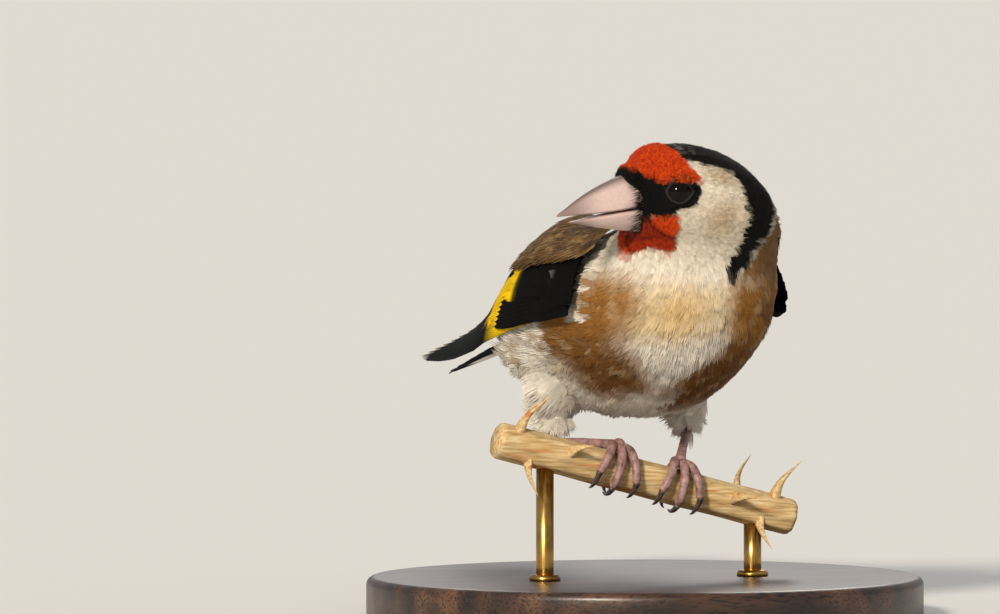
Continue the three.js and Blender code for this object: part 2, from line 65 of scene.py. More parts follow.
# Places in millimetres, heights above the floor
STEM_HEIGHT = 22.0
STEM_POINT = np.array([-7.0, -5.0, STEM_HEIGHT])
STEM_SLOPE = math.radians(15)
STEM_RADIUS = 2.7
HEAD_PLACE = np.array([-1.0, -24.0, 41.2 + STEM_HEIGHT])
HEAD_TURN = math.radians(-80)
EYE_PLACE = np.array([5.8, -6.3, 0.9])  # left eye, in the head's frame
EYE_LOOK = np.array([0.92, -0.38, 0.05])
EYE_RADIUS = 2.1
TAIL_PLACE = np.array([0.0, 33.0, 20.4 + STEM_HEIGHT])
TAIL_DROOP = math.radians(10)
TAIL_SWING = math.radians(-5)

# Colours, as sRGB hex
RED = "#b2270a"
RED_BEAD_HIGHLIGHT = "#f0590f"
RED_SHADE = "#6e1204"
BLACK = "#0b0a09"
CROWN_FLECK = "#77706a"
CHEEK_WHITE = "#ece0ca"
EAR_BUFF = "#a98a5c"
NAPE_BROWN = "#7a5a34"
BREAST_TAWNY = "#94642b"
BREAST_SHADE = "#5a3512"
BREAST_CREAM = "#dcc49c"
BREAST_YELLOW = "#d3aa62"
BELLY_WHITE = "#e8dfcf"
FLANK_GREY = "#b8aea0"
MANTLE_BROWN = "#74552f"
MANTLE_DARK = "#4a361f"
SHADE_SLATE = "#2b2c2f"
RUMP_PALE = "#cfc0a6"
WING_BLACK = "#0a0908"
WING_YELLOW = "#e8bd08"
WING_GREY_AND_SHEEN = "#6f6c70"
TIP_WHITE = "#e2dcd0"
BILL_PINK = "#cdb3aa"
BILL_RIDGE = "#54423a"
BILL_TIP = "#6b5648"
GAPE_RED = "#6a3a34"

# Scales of the patterns, each with the size that it gives. Noise and cells are per metre
BARB_LINES = 2.4  # 15 lines over a feather's width, so about 0.1 mm on the body's
SKIN_GRAIN = 2600.0  # 0.38 mm
BILL_STREAKS = 2600.0  # 0.38 mm wide and 3.2 mm long
BRISTLE_STREAKS = 1500.0  # 0.67 mm
LID_PEBBLES = 5200.0  # 0.19 mm
LEG_BLOTCHES = 900.0  # 1.1 mm
SCUTE_CELLS = 3200.0  # 0.31 mm
CLAW_BLOTCHES = 700.0  # 1.4 mm
STALK_FIBRES = 2600.0  # 0.38 mm wide and 8 mm long
STALK_VEINS = 620.0  # 1.6 mm wide and 32 mm long
STALK_SPOTS = 330.0  # 3 mm
WOOD_RINGS = 28.0  # 5 mm wide and 36 mm long
WOOD_BANDS = 9.0  # 5 mm apart
WOOD_PORES = 420.0  # 0.34 mm wide and 2.4 mm long, coarse enough to show
BRASS_LINES = 5200.0  # 0.19 mm wide and 5 mm long, coarse enough to show
BRASS_TARNISH = 240.0  # 4.2 mm

SIDE_NAMES = {1: "left", -1: "right"}


def linear(code):
    """Linear colour of an sRGB hex code."""
    parts = np.array([int(code[i : i + 2], 16) / 255 for i in (1, 3, 5)])
    return np.where(parts <= 0.04045, parts / 12.92, ((parts + 0.055) / 1.055) ** 2.4)


def smooth(low, high, value):
    """0 below low, 1 above high and a soft step between."""
    share = np.clip((value - low) / (high - low), 0, 1)
    return share * share * (3 - 2 * share)


def blend(base, code, share):
    """Colours of base, moved towards a hex colour by a share from 0 to 1."""
    share = np.clip(np.asarray(share), 0, 1)[..., None]
    return base * (1 - share) + linear(code) * share


def unit(vectors):
    """Vectors of length 1."""
    return vectors / (np.linalg.norm(vectors, axis=-1, keepdims=True) + 1e-12)


def turn_z(points, angle):
    """Points turned about the upright axis."""
    c, s = math.cos(angle), math.sin(angle)
    x, y = points[..., 0], points[..., 1]
    return np.stack([c * x - s * y, s * x + c * y, points[..., 2]], axis=-1)


def to_head(points):
    """Points of the part's frame, in the head's frame."""
    return turn_z(points - HEAD_PLACE, -HEAD_TURN)


def from_head(points):
    """Points of the head's frame, in the part's frame."""
    return turn_z(np.asarray(points, float), HEAD_TURN) + HEAD_PLACE


def catmull_rom(p0, p1, p2, p3, t):
    """Row at share t between p1 and p2, on a smooth curve through four rows."""
    bend = 2 * p0 - 5 * p1 + 4 * p2 - p3
    twist = 3 * p1 - p0 - 3 * p2 + p3
    return 0.5 * (2 * p1 + (p2 - p0) * t + bend * t**2 + twist * t**3)


# Materials


def new_material(name):
    """An empty material with its shader and its node tree."""
    material = bpy.data.materials.new(name)
    material.use_nodes = True
    tree = material.node_tree
    return material, tree, tree.nodes["Principled BSDF"]


def connect(tree, node, inputs):
    """Gives a node's inputs their values or sources, by name or, as _2, by number."""
    for key, value in inputs.items():
        socket = node.inputs[int(key[1:])] if key[1:].isdigit() else node.inputs[key]
        if isinstance(value, bpy.types.NodeSocket):
            tree.links.new(value, socket)
        else:
            socket.default_value = value


def add(tree, kind, settings=None, **inputs):
    """Adds a node. Settings are its properties, and inputs their values or sources."""
    node = tree.nodes.new(kind)
    for key, value in (settings or {}).items():
        setattr(node, key, value)
    connect(tree, node, inputs)
    return node


def colour_of(code):
    """A socket's colour from a hex code."""
    return (*linear(code), 1.0)


def set_ramp(node, *stops):
    """Puts hex colours at places on a colour ramp."""
    ramp = node.color_ramp
    while len(ramp.elements) < len(stops):
        ramp.elements.new(0.5)
    for element, (place, code) in zip(ramp.elements, stops):
        element.position = place
        element.color = colour_of(code)


KERATIN_IOR = 1.54


def feather_material(name, gloss, sheen, line_depth):
    """Keratin barbs, matt and finely lined along the feather. The coat's are soft with
    a faint sheen at glancing angles, and the flight feathers' are closed and sleeker."""
    material, tree, shader = new_material(name)
    tint = add(tree, "ShaderNodeVertexColor", {"layer_name": "plumage"})
    along = add(tree, "ShaderNodeUVMap", {"uv_map": "Barbs"})
    lines = add(
        tree,
        "ShaderNodeTexWave",
        {"wave_type": "BANDS", "bands_direction": "X"},
        Vector=along.outputs[0],
        Scale=BARB_LINES,
        Distortion=2.0,
        Detail=2.0,
    )
    shade = add(
        tree,
        "ShaderNodeMapRange",
        _0=lines.outputs["Fac"],
        _1=0.0,
        _2=1.0,
        _3=1.0 - line_depth,
        _4=1.0 + 0.5 * line_depth,
    )
    lined = add(
        tree,
        "ShaderNodeMix",
        {"data_type": "RGBA", "blend_type": "MULTIPLY"},
        _0=1.0,
        _6=tint.outputs["Color"],
        _7=shade.outputs[0],
    )
    bump = add(tree, "ShaderNodeBump", Strength=0.25, Distance=0.00006, Height=lines.outputs["Fac"])
    finish = {
        "Base Color": lined.outputs[2],
        "Normal": bump.outputs[0],
        "Roughness": 0.78,
        "IOR": KERATIN_IOR,
        "Specular IOR Level": gloss,
        "Sheen Weight": sheen,
        "Sheen Roughness": 0.5,
    }
    connect(tree, shader, finish)
    return material


def skin_material():
    """Skin under the coat, painted as the feathers over it, so that no gap shows."""
    material, tree, shader = new_material("skin_under_feathers")
    tint = add(tree, "ShaderNodeVertexColor", {"layer_name": "plumage"})
    where = add(tree, "ShaderNodeTexCoord").outputs["Object"]
    grain = add(tree, "ShaderNodeTexNoise", Vector=where, Scale=SKIN_GRAIN, Detail=3.0)
    bump = add(tree, "ShaderNodeBump", Strength=0.5, Distance=0.0002, Height=grain.outputs[0])
    finish = {"Base Color": tint.outputs["Color"], "Normal": bump.outputs[0], "Roughness": 0.85}
    connect(tree, shader, finish)
    return material


# Mesh helpers


def placed(name, data):
    """New object in the scene, at the origin."""
    made = bpy.data.objects.new(name, data)
    bpy.context.scene.collection.objects.link(made)
    return made


def applied(made, name):
    """Plain object from one with modifiers, which it takes the place of."""
    evaluated = made.evaluated_get(bpy.context.evaluated_depsgraph_get())
    mesh = bpy.data.meshes.new_from_object(evaluated)
    bpy.data.objects.remove(made)
    return placed(name, mesh)


def object_from(name, points, faces, material):
    """Mesh object from points in metres, riding on the model's body."""
    mesh = bpy.data.meshes.new(name)
    mesh.from_pydata([tuple(p) for p in points], [], faces)
    mesh.update()
    made = placed(name, mesh)
    mesh.materials.append(material)
    mesh.polygons.foreach_set("use_smooth", [True] * len(mesh.polygons))
    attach(made, "root")
    return made


def fast_object(name, points, quads, material):
    """As object_from, for large arrays: points in metres and four corners for each face."""
    mesh = bpy.data.meshes.new(name)
    mesh.vertices.add(len(points))
    mesh.vertices.foreach_set("co", np.asarray(points, np.float32).ravel())
    mesh.loops.add(len(quads) * 4)
    mesh.loops.foreach_set("vertex_index", np.asarray(quads, np.int32).ravel())
    mesh.polygons.add(len(quads))
    mesh.polygons.foreach_set("loop_start", np.arange(len(quads), dtype=np.int32) * 4)
    mesh.polygons.foreach_set("use_smooth", np.ones(len(quads), bool))
    mesh.update(calc_edges=True)
    made = placed(name, mesh)
    mesh.materials.append(material)
    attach(made, "root")
    return made


def paint(made, colours):
    """Gives each vertex of a mesh its colour, as linear values."""
    layer = made.data.color_attributes.new("plumage", "FLOAT_COLOR", "POINT")
    full = np.ones((len(colours), 4), np.float32)
    full[:, :3] = colours
    layer.data.foreach_set("color", full.ravel())


def vertex_array(mesh):
    """Places of a mesh's vertices."""
    flat = np.empty(len(mesh.vertices) * 3)
    mesh.vertices.foreach_get("co", flat)
    return flat.reshape(-1, 3)


def add_uv(made, name, per_loop):
    """Adds a UV map from one place for each corner."""
    layer = made.data.uv_layers.new(name=name)
    layer.data.foreach_set("uv", np.asarray(per_loop, np.float32).ravel())


def loop_vertices(mesh):
    """Vertex of each corner."""
    index = np.empty(len(mesh.loops), np.int32)
    mesh.loops.foreach_get("vertex_index", index)
    return index


# Skin: one closed surface over torso, neck, head and shins, drawn in by the coat's depth

COAT_DEPTH = 0.9
FACE_DEPTH = 0.45
SHIN_DEPTH = 0.5
SHIN_TOP = 7.0
JOIN_SWELL = 0.28  # the solids stand this far apart, so they grow to meet
SKIN_VOXEL = 0.55
EYE_PLUG_RADIUS = 2.75  # fills the solid's eye sockets
EYE_PLUG_DEPTH = 1.15
FOREHEAD_PLACE = np.array([0, -10.4, 2.7])  # low swelling over the root of the bill
FOREHEAD_SIZE = (3.9, 3.3, 2.7)


def make_skin():
    """The bird's skin, remeshed from the solids' flesh nodes, with the sockets filled, the
    forehead raised and the folds of the throat smoothed."""
    shell = bmesh.new()
    for name in ("torso", "neck", "head", "shin_left", "shin_right"):
        piece = bmesh.new()
        piece.from_mesh(nodes[name].data)
        bmesh.ops.remove_doubles(piece, verts=piece.verts, dist=1e-6)
        piece.normal_update()
        for v in piece.verts:
            v.co += v.normal * JOIN_SWELL * MM
        copy = bpy.data.meshes.new("piece")
        piece.to_mesh(copy)
        shell.from_mesh(copy)
        piece.free()
        bpy.data.meshes.remove(copy)
    ball = dict(u_segments=24, v_segments=14)
    for side in (-1, 1):
        plug = bmesh.ops.create_uvsphere(shell, radius=EYE_PLUG_RADIUS * MM, **ball)
        mirror = [side, 1, 1]
        place = from_head(EYE_PLACE * mirror - unit(EYE_LOOK) * mirror * EYE_PLUG_DEPTH)
        bmesh.ops.translate(shell, verts=plug["verts"], vec=Vector(place * MM))
    brow = bmesh.ops.create_uvsphere(shell, radius=MM, **ball)
    swell = Matrix.Diagonal((*FOREHEAD_SIZE, 1))
    turned = Matrix.Rotation(HEAD_TURN, 4, "Z") @ swell
    bmesh.ops.transform(shell, verts=brow["verts"], matrix=turned)
    bmesh.ops.translate(shell, verts=brow["verts"], vec=Vector(from_head(FOREHEAD_PLACE) * MM))
    mesh = bpy.data.meshes.new("skin")
    shell.to_mesh(mesh)
    shell.free()
    made = placed("skin", mesh)
    remesh = made.modifiers.new("remesh", "REMESH")
    remesh.mode = "VOXEL"
    remesh.voxel_size = SKIN_VOXEL * MM
    relax = made.modifiers.new("relax", "SMOOTH")
    relax.iterations = 7
    relax.factor = 0.5
    made = applied(made, "skin")
    fill = made.vertex_groups.new(name="throat")
    up = to_head(vertex_array(made.data) / MM)[:, 2]
    crease = smooth(-16.0, -12.5, up) * smooth(-5.5, -8.0, up)
    for index in np.nonzero(crease > 0.02)[0]:
        fill.add([int(index)], float(crease[index]), "REPLACE")
    soften = made.modifiers.new("soften", "SMOOTH")
    soften.iterations = 70
    soften.factor = 0.7
    soften.vertex_group = "throat"
    made = applied(made, "skin")
    whole = made.data
    points = vertex_array(whole) / MM
    normals = np.array([v.normal[:] for v in whole.vertices])
    depth = COAT_DEPTH + JOIN_SWELL - (COAT_DEPTH - FACE_DEPTH) * head_share(points)
    depth = np.where(points[:, 2] < SHIN_TOP + STEM_HEIGHT, SHIN_DEPTH, depth)
    points -= normals * depth[:, None]
    whole.vertices.foreach_set("co", (points * MM).ravel())
    whole.update()
    whole.materials.append(skin_material())
    whole.polygons.foreach_set("use_smooth", [True] * len(whole.polygons))
    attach(made, "root")
    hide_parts("torso", "neck", "head", "shin_left", "shin_right")
    return made


def head_share(points):
    """1 on the head, falling to 0 down the neck."""
    local = to_head(points)
    height = smooth(-11, -5, local[:, 2])
    near = 1 - smooth(13, 17, np.linalg.norm(local, axis=1))
    return height * near


# Markings. Edges are soft steps, in millimetres, roughened by smooth noise


def wobble(points, scale, seed=0):
    """Smooth random value from -1 to 1 over space, from a few crossed waves."""
    waves = np.random.default_rng(seed).normal(size=(6, 3)) / scale
    phases = np.random.default_rng(seed + 1).uniform(0, 6.28, 6)
    return np.sin(points @ waves.T + phases).mean(axis=1) * 1.6


def breast_and_back(points):
    """Colours of the neck, breast, back and belly, by place in the part's frame. The
    breast turns a little with the head, so its pale middle lies to the bird's right."""
    x, y = points[:, 0], points[:, 1]
    z = points[:, 2] - STEM_HEIGHT
    rough = wobble(points, 3.0, 11)
    fine = wobble(points, 0.9, 17)
    side = np.abs(x + 3.5) + 0.5 * rough
    front = smooth(3, -6, y)
    colours = np.tile(linear(BELLY_WHITE), (len(points), 1))
    cream = smooth(18, 22, z + 0.6 * rough) * (1 - 0.75 * smooth(25, 29, z)) * front
    colours = blend(colours, BREAST_CREAM, 0.85 * cream)
    yellow = np.exp(-(((x + 5) / 4.6) ** 2) - (((z - 23) / 3.4) ** 2)) * front
    colours = blend(colours, BREAST_YELLOW, 0.7 * yellow)
    lower = 9.3 + (2.5 + 1.2 * np.maximum(side - 9.5, 0)) * (x < 0)
    inner = 7.3 - 0.95 * np.maximum(19 - z, 0)
    patch = smooth(-2.2, 2.2, side - inner) * smooth(-1.6, 1.6, z - lower + 0.8 * rough)
    patch = patch * smooth(0, -6, y) * (1 - smooth(26, 31, z) * smooth(12.5, 8.5, side))
    colours = blend(colours, BREAST_TAWNY, patch)
    # Painted shade: the tawny patch darkens low down and at its outer edge, where the breast turns
    # under and away from the light
    deep = smooth(24, 15, z) * smooth(0.5, 4.5, side - 0.3 * (z - 14))
    outer = smooth(11, 14.5, side) * smooth(28, 22, z)
    colours = blend(colours, BREAST_SHADE, 0.75 * patch * np.maximum(deep, 0.7 * outer))
    colours = blend(colours, BREAST_CREAM, 0.25 * patch * smooth(0.2, 0.9, fine))
    flank = smooth(-7, -1, y) * (1 - smooth(18, 26, y)) * smooth(10, 16, z)
    colours = blend(colours, FLANK_GREY, 0.6 * flank)
    colours = blend(colours, EAR_BUFF, 0.4 * flank * smooth(0.0, 0.8, rough))
    back = smooth(25, 29, z + 0.2 * y + 0.5 * rough) * smooth(-18, -12, y - 0.2 * side)
    colours = blend(colours, MANTLE_BROWN, back)
    colours = blend(colours, MANTLE_DARK, back * smooth(0.0, 0.6, fine) * 0.75)
    rump = smooth(20, 27, y + 0.5 * rough) * smooth(16, 20, z)
    return blend(colours, RUMP_PALE, rump)


# Black band behind the cheek: its front and back edges at heights in the head's frame
BAND_HEIGHTS = (-13.5, -12.2, -11.6, -10.0, -7.1, -3.4, 0.25, 2.5, 4.0)
BAND_FRONT = (2.8, 2.9, 3.1, 3.4, 4.2, 4.2, 2.9, 3.0, 1.5)
BAND_BACK = (4.5, 5.4, 6.2, 7.7, 8.6, 9.6, 9.8, 11.5, 13.0)


def red_share(points):
    """Red of the forehead and chin, painted shade of darker red under the bill, and a painted
    shadow along the crease between that and the cheek's red: each from 0 to 1."""
    h = to_head(points)
    side, back, up = np.abs(h[:, 0]), h[:, 1], h[:, 2]
    rough = wobble(points, 1.0, 3)
    near = 1 - smooth(14.0, 15.0, np.linalg.norm(h, axis=1))
    rear = -4.2 - 0.59 * (up - 4.75) + 0.35 * rough
    lower = 1.9 + 0.7 * np.maximum(0, -9.0 - back) + 0.25 * rough
    top = smooth(0, 0.5, rear - back) * smooth(0, 0.5, up - lower)
    chin_back = -5.8 + 0.32 * np.maximum(-4.0 - up, 0) - 0.9 * np.maximum(-8.4 - up, 0)
    chin_back = chin_back + 0.35 * rough
    chin = smooth(0, 0.6, chin_back - back) * smooth(2.6, 3.2, -up + 0.3 * rough)
    chin *= smooth(-0.5, 0.4, up + 7.5 + 0.6 * np.minimum(side, 4.6) + 0.3 * rough)
    chin *= 1 - smooth(0, 0.7, -back - 10.9 + 0.5 * np.maximum(-6.0 - up, 0))
    chin *= smooth(-6.6, -5.8, h[:, 0]) * smooth(6.8, 6.2, -h[:, 0])
    # Painted shade: darker red on the chin's underside, near its middle
    deep = chin * near * smooth(3.9, 3.1, side)
    # Painted shadow: a dark line along the crease between the chin's darker middle and the cheek's
    # red
    crease = np.exp(-(((side - 3.6) / 0.3) ** 2)) * chin * near
    return np.maximum(top, chin) * near, deep, crease


def plumage_colours(points):
    """Colours of the whole coat. The face is worked out in the head's frame, where
    forward is -Y: back grows towards the nape and up towards the crown."""
    h = to_head(points)
    back, up = h[:, 1], h[:, 2]
    rough = wobble(points, 1.0, 3)
    reach = np.linalg.norm(h, axis=1)
    near = 1 - smooth(15.5, 17.5, reach)
    colours = breast_and_back(points)
    lower = -14.0 - 0.25 * back + 0.8 * rough
    cheek = smooth(0, 4.5, up - lower) * (1 - smooth(14.5, 18.5, reach))
    colours = blend(colours, CHEEK_WHITE, cheek)
    ear = np.exp(-(((back - 0.4) / 3.4) ** 2) - (((up + 3.2) / 3.0) ** 2))
    brow = np.exp(-(((back - 0.6) / 3.2) ** 2) - (((up - 2.9 + 0.23 * back) / 1.5) ** 2))
    colours = blend(colours, EAR_BUFF, (0.62 * np.maximum(ear, brow) + 0.08) * (cheek > 0.5))
    crown = smooth(0, 0.7, up + 0.23 * back - 3.75 + 0.25 * rough) * near
    front = np.interp(up, BAND_HEIGHTS, BAND_FRONT) + 0.3 * rough
    rear = np.interp(up, BAND_HEIGHTS, BAND_BACK) + 0.4 * rough
    band = smooth(-0.3, 0.5, back - front) * smooth(-0.5, 0.7, rear - back)
    wide = 1 - smooth(19, 20.5, reach)
    band *= smooth(-14.0, -12.6, up + 0.4 * rough) * wide
    behind = smooth(-0.3, 0.7, back - rear) * smooth(1.2, -0.5, up + 0.12 * (back - 9)) * wide
    colours = blend(colours, NAPE_BROWN, behind * smooth(-15.5, -12, up))
    colours = blend(colours, BLACK, np.maximum(crown, band) * (1 - behind))
    fleck = crown * smooth(0.0, 0.5, wobble(points, 0.45, 41)) * (1 - smooth(-4, -1.5, back))
    colours = blend(colours, CROWN_FLECK, 0.75 * fleck)
    red, deep, crease = red_share(points)
    colours = blend(colours, RED, red)
    # Painted shade under the chin, and painted shadow in black along its crease
    colours = blend(colours, RED_SHADE, 0.7 * deep)
    colours = blend(colours, BLACK, 0.8 * crease)
    ahead = smooth(0, 0.6, -5.0 - 0.5 * np.maximum(0.5 - up, 0) - back + 0.25 * rough)
    lores = ahead * smooth(-3.3, -2.7, up + 0.3 * rough)
    brow_line = 2.45 + 0.75 * np.maximum(0, -9.0 - back)
    eye_y, eye_z = back - EYE_PLACE[1], up - EYE_PLACE[2]
    ring = 1 - smooth(2.5, 3.0, np.hypot(eye_y, 1.1 * eye_z) + 0.15 * rough)
    point = smooth(-2.9, -3.5, back + 0.8 * np.abs(up - 1.2)) * smooth(-6.5, -6, back)
    point *= smooth(2.2, 1.5, np.abs(up - 1.2))
    nasal = smooth(-10.3, -10.9, back + 0.3 * rough) * smooth(4.3, 3.7, up)
    gape = smooth(-9.3, -9.9, back + 0.3 * rough) * smooth(-5.8, -5.0, up + 0.4 * rough)
    below_brow = smooth(0.25, -0.25, up - brow_line - 0.2 * rough)
    mask = np.maximum.reduce([lores, point, ring]) * below_brow
    tight = 1 - smooth(2.2, 2.5, np.hypot(eye_y, eye_z))
    mask = np.maximum.reduce([mask, tight, nasal, gape * smooth(2.5, 1.9, up)]) * near
    return blend(colours, BLACK, mask)


# Sheets that the wing and tail feathers lie on

# Left wing: place along it, X and height of its lower edge, and the angle that its section
# starts at and the radius that it curls on
WING_ROW_STEP = 12.0
WING_ROWS = np.array(
    [
        [-36, 11.5, 26, 0, 12],
        [-24, 13.9, 24.5, 0, 13],
        [-12, 16.4, 22.7, 0, 15],
        [0, 18.5, 21.3, 0, 16.6],
        [12, 19.3, 19, 4, 17],
        [24, 18, 16.7, 19, 16.5],
        [36, 16.6, 14.9, 34, 20],
        [48, 15.3, 13.7, 44, 24],
        [60, 14, 12.7, 48, 28],
        [72, 12.7, 11.8, 50, 30],
    ],
    float,
)


def wing_sheet(along, across, lift):
    """Point over the left wing's sheet, from millimetres along, across and off it."""
    along, across, lift = np.broadcast_arrays(along, across, lift)
    place = (along - WING_ROWS[0, 0]) / WING_ROW_STEP
    place = np.clip(place, 1, len(WING_ROWS) - 2.001)
    i = np.floor(place).astype(int)
    t = (place - i)[..., None]
    row = catmull_rom(*(WING_ROWS[i + k] for k in (-1, 0, 1, 2)), t)
    x, z, curl = row[..., 1], row[..., 2], row[..., 4]
    start = np.radians(row[..., 3])
    angle = start + across / curl
    out_x = x + curl * (np.cos(angle) - np.cos(start)) + lift * np.cos(angle)
    out_z = z + curl * (np.sin(angle) - np.sin(start)) + lift * np.sin(angle)
    return np.stack([out_x, along + 0 * out_x, out_z + STEM_HEIGHT], axis=-1)


def tail_sheet(along, across, lift):
    """Point over the tail's sheet, from millimetres along, across and off it."""
    along, across, lift = np.broadcast_arrays(along, across, lift)
    height = lift - 0.03 * across**2
    y = along * math.cos(TAIL_DROOP) + height * math.sin(TAIL_DROOP)
    z = height * math.cos(TAIL_DROOP) - along * math.sin(TAIL_DROOP)
    return turn_z(np.stack([across, y, z], axis=-1), TAIL_SWING) + TAIL_PLACE


# Coat: mesh tufts over the skin, each a small cupped vane that ends in split barbs

BARB_PLACES = (-0.8, -0.4, 0.0, 0.4, 0.8)
BARB_START = 0.38
BARB_POINTS = 6
CUP = -0.12  # how far the sides hang, as a share of the width
TUFTS_A_PIECE = 6500


def tuft_template():
    """Points of one tuft as (across, along, cup) and its faces, four corners each."""
    points, faces = [], []
    for along, wide in ((0.0, 0.35), (0.24, 0.85), (0.48, 1.0)):
        points += [(-wide, along, CUP * wide), (0, along, 0), (wide, along, CUP * wide)]
    for row in (0, 3):
        for column in (0, 1):
            corner = row + column
            faces.append((corner, corner + 1, corner + 4, corner + 3))
    for place in BARB_PLACES:
        first = len(points)
        cup = CUP * place**2 + 0.02
        for along, wide in ((BARB_START, 0.24), (0.72, 0.14), (1.0, 0.02)):
            points += [(place - wide, along, cup), (place + wide, along, cup)]
        faces += [(first, first + 1, first + 3, first + 2)]
        faces += [(first + 2, first + 3, first + 5, first + 4)]
    return np.array(points), np.array(faces)


TUFT_POINTS, TUFT_FACES = tuft_template()
FIRST_BARB = len(TUFT_POINTS) - BARB_POINTS * len(BARB_PLACES)


def barb_slices():
    """The points of each barb in turn."""
    for k in range(len(BARB_PLACES)):
        first = FIRST_BARB + BARB_POINTS * k
        yield slice(first, first + BARB_POINTS)


def tuft_mesh(roots, normals, ways, length, width, tilt, bend, rng):
    """Points of many tufts, in millimetres. Tilt is in radians, and bend is the radius
    of the surface that each one follows."""
    count = len(roots)
    sides = np.cross(ways, normals)
    across = np.repeat(TUFT_POINTS[None, :, 0], count, 0)
    along = np.repeat(TUFT_POINTS[None, :, 1], count, 0)
    cup = TUFT_POINTS[:, 2]
    stretch = rng.uniform(0.72, 1.08, (count, len(BARB_PLACES)))
    drift = rng.normal(0, 0.16, (count, len(BARB_PLACES)))
    for k, (place, ends) in enumerate(zip(BARB_PLACES, barb_slices())):
        reach = (along[:, ends] - BARB_START) * (stretch[:, k] - 0.18 * abs(place))[:, None]
        along[:, ends] = BARB_START + reach
        across[:, ends] += (drift[:, k, None] - 0.25 * place) * reach
    run = along * length[:, None]
    rise = np.tan(tilt)[:, None] * run - run**2 / (2 * bend[:, None])
    rise = rise + cup * width[:, None]
    spread = across * width[:, None] / 2
    return (
        roots[:, None]
        + ways[:, None] * run[..., None]
        + sides[:, None] * spread[..., None]
        + normals[:, None] * rise[..., None]
    )


BODY_MIDDLE = np.array([0, 3, 23 + STEM_HEIGHT])
BODY_STRETCH = 2.1  # the body's length over its width
BAKE_PATCH = 0.003  # width and height of a tuft's patch on the unwrap


def unwrap(points):
    """Place of each point on an unwrap of the skin's shape: head above, body below."""
    local = to_head(points)
    on_head = head_share(points) > 0.5
    body = (points - BODY_MIDDLE) / [1, BODY_STRETCH, 1]
    x, y, z = np.where(on_head[:, None], local, body).T
    u = 0.5 + 0.485 * np.arctan2(x, z) / math.pi
    v = 0.5 + np.arctan2(y, np.hypot(x, z)) / math.pi
    return np.stack([u, np.where(on_head, 0.68 + 0.3 * v, 0.02 + 0.62 * v)], axis=-1)


def tuft_pieces(name, points, colours, roots):
    """Mesh objects from tufts, under the face limit each, with their colours and UVs."""
    barbs = TUFT_POINTS[:, :2]
    patch = BAKE_PATCH * (barbs / [2, 1] - [0, 0.5])
    order = np.argsort(roots[:, 1])
    for k in range(math.ceil(len(points) / TUFTS_A_PIECE)):
        part = order[k * TUFTS_A_PIECE : (k + 1) * TUFTS_A_PIECE]
        count = len(part)
        faces = TUFT_FACES[None] + (np.arange(count) * len(TUFT_POINTS))[:, None, None]
        piece = fast_object(
            f"{name}_{k + 1}", points[part].reshape(-1, 3) * MM, faces.reshape(-1, 4), feathers
        )
        paint(piece, colours[part].reshape(-1, 3))
        corner = loop_vertices(piece.data)
        places = unwrap(roots[part])[:, None] + patch[None]
        add_uv(piece, "OFBake", places.reshape(-1, 2)[corner])
        add_uv(piece, "Barbs", np.tile(barbs, (count, 1))[corner])


def skin_samples(count, weight, rng):
    """Random points on the skin with their normals, as many as wanted, where weight,
    a function of place and normal, makes them more or less frequent."""
    mesh = skin.data
    mesh.calc_loop_triangles()
    corners = np.array([t.vertices[:] for t in mesh.loop_triangles])
    points = vertex_array(mesh) / MM
    a, b, c = (points[corners[:, k]] for k in range(3))
    area = np.linalg.norm(np.cross(b - a, c - a), axis=1) / 2
    flat = unit(np.cross(b - a, c - a))
    chance = area * weight((a + b + c) / 3, flat)
    pick = rng.choice(len(area), count, p=chance / chance.sum())
    s, t = rng.random(count), rng.random(count)
    over = s + t > 1
    s, t = np.where(over, 1 - s, s), np.where(over, 1 - t, t)
    place = a[pick] + s[:, None] * (b - a)[pick] + t[:, None] * (c - a)[pick]
    normal_at = np.empty(len(mesh.vertices) * 3)
    mesh.vertices.foreach_get("normal", normal_at)
    normal_at = normal_at.reshape(-1, 3)
    na, nb, nc = (normal_at[corners[pick, k]] for k in range(3))
    soft = na * (1 - s - t)[:, None] + nb * s[:, None] + nc * t[:, None]
    return place, unit(soft)


def lie_of_coat(points, normals):
    """Direction that the feathers lie in: from the bill back over the head, down the
    neck and back along the body."""
    local = to_head(points)
    from_bill = unit(local - np.array([0, -10.5, -0.5])) + np.array([0, 0.35, -0.25])
    head_way = turn_z(from_bill, HEAD_TURN)
    z = points[:, 2] - STEM_HEIGHT
    down = 0.55 + 0.8 * smooth(24, 36, z)
    x, y = points[:, 0], points[:, 1]
    outwards = 0.25 * np.sign(x) * smooth(3, 12, np.abs(x)) * smooth(-5, -20, y)
    body_way = np.stack([outwards, np.ones(len(points)), -down], axis=-1)
    shin = smooth(7.5, 5.0, z)[:, None]
    body_way = body_way * (1 - shin) + np.array([0, 0.15, -1.0]) * shin
    share = head_share(points)[:, None]
    way = unit(body_way) * (1 - share) + unit(head_way) * share
    way = way - normals * np.sum(way * normals, axis=1, keepdims=True)
    return unit(way)


def shin_share(points):
    """1 on the shins, falling to 0 where they enter the body."""
    return smooth(9.5, 7.5, points[:, 2] - STEM_HEIGHT)


def throat_share(points):
    """1 where the throat's folds would make long feathers stand out."""
    up = to_head(points)[:, 2]
    return smooth(-6.0, -8.5, up) * smooth(-17.0, -15.0, up)


def feather_length(points):
    """Length of the body feathers in millimetres, by place."""
    local = to_head(points)
    face = 1.0 + 0.11 * np.clip(local[:, 1] + 9, 0, 20) + 0.05 * np.clip(-local[:, 2], 0, 12)
    y, z = points[:, 1], points[:, 2] - STEM_HEIGHT
    body = 3.9 + 0.9 * smooth(-15, 15, y) + 0.9 * smooth(18, 8, z) + 0.8 * smooth(20, 34, y)
    share = head_share(points)
    return body * (1 - share) + face * share


# Part of the wing's sheet that feathers of the body would poke through, and how near to it
SHEET_ALONG = np.arange(-8.0, 34.0, 1.0)
SHEET_ACROSS = np.arange(2.0, 15.5, 1.0)
UNDER_WING_GAP = 1.95
EYE_OPENING = 1.7
AT_A_TIME = 4000  # points measured together, to save memory


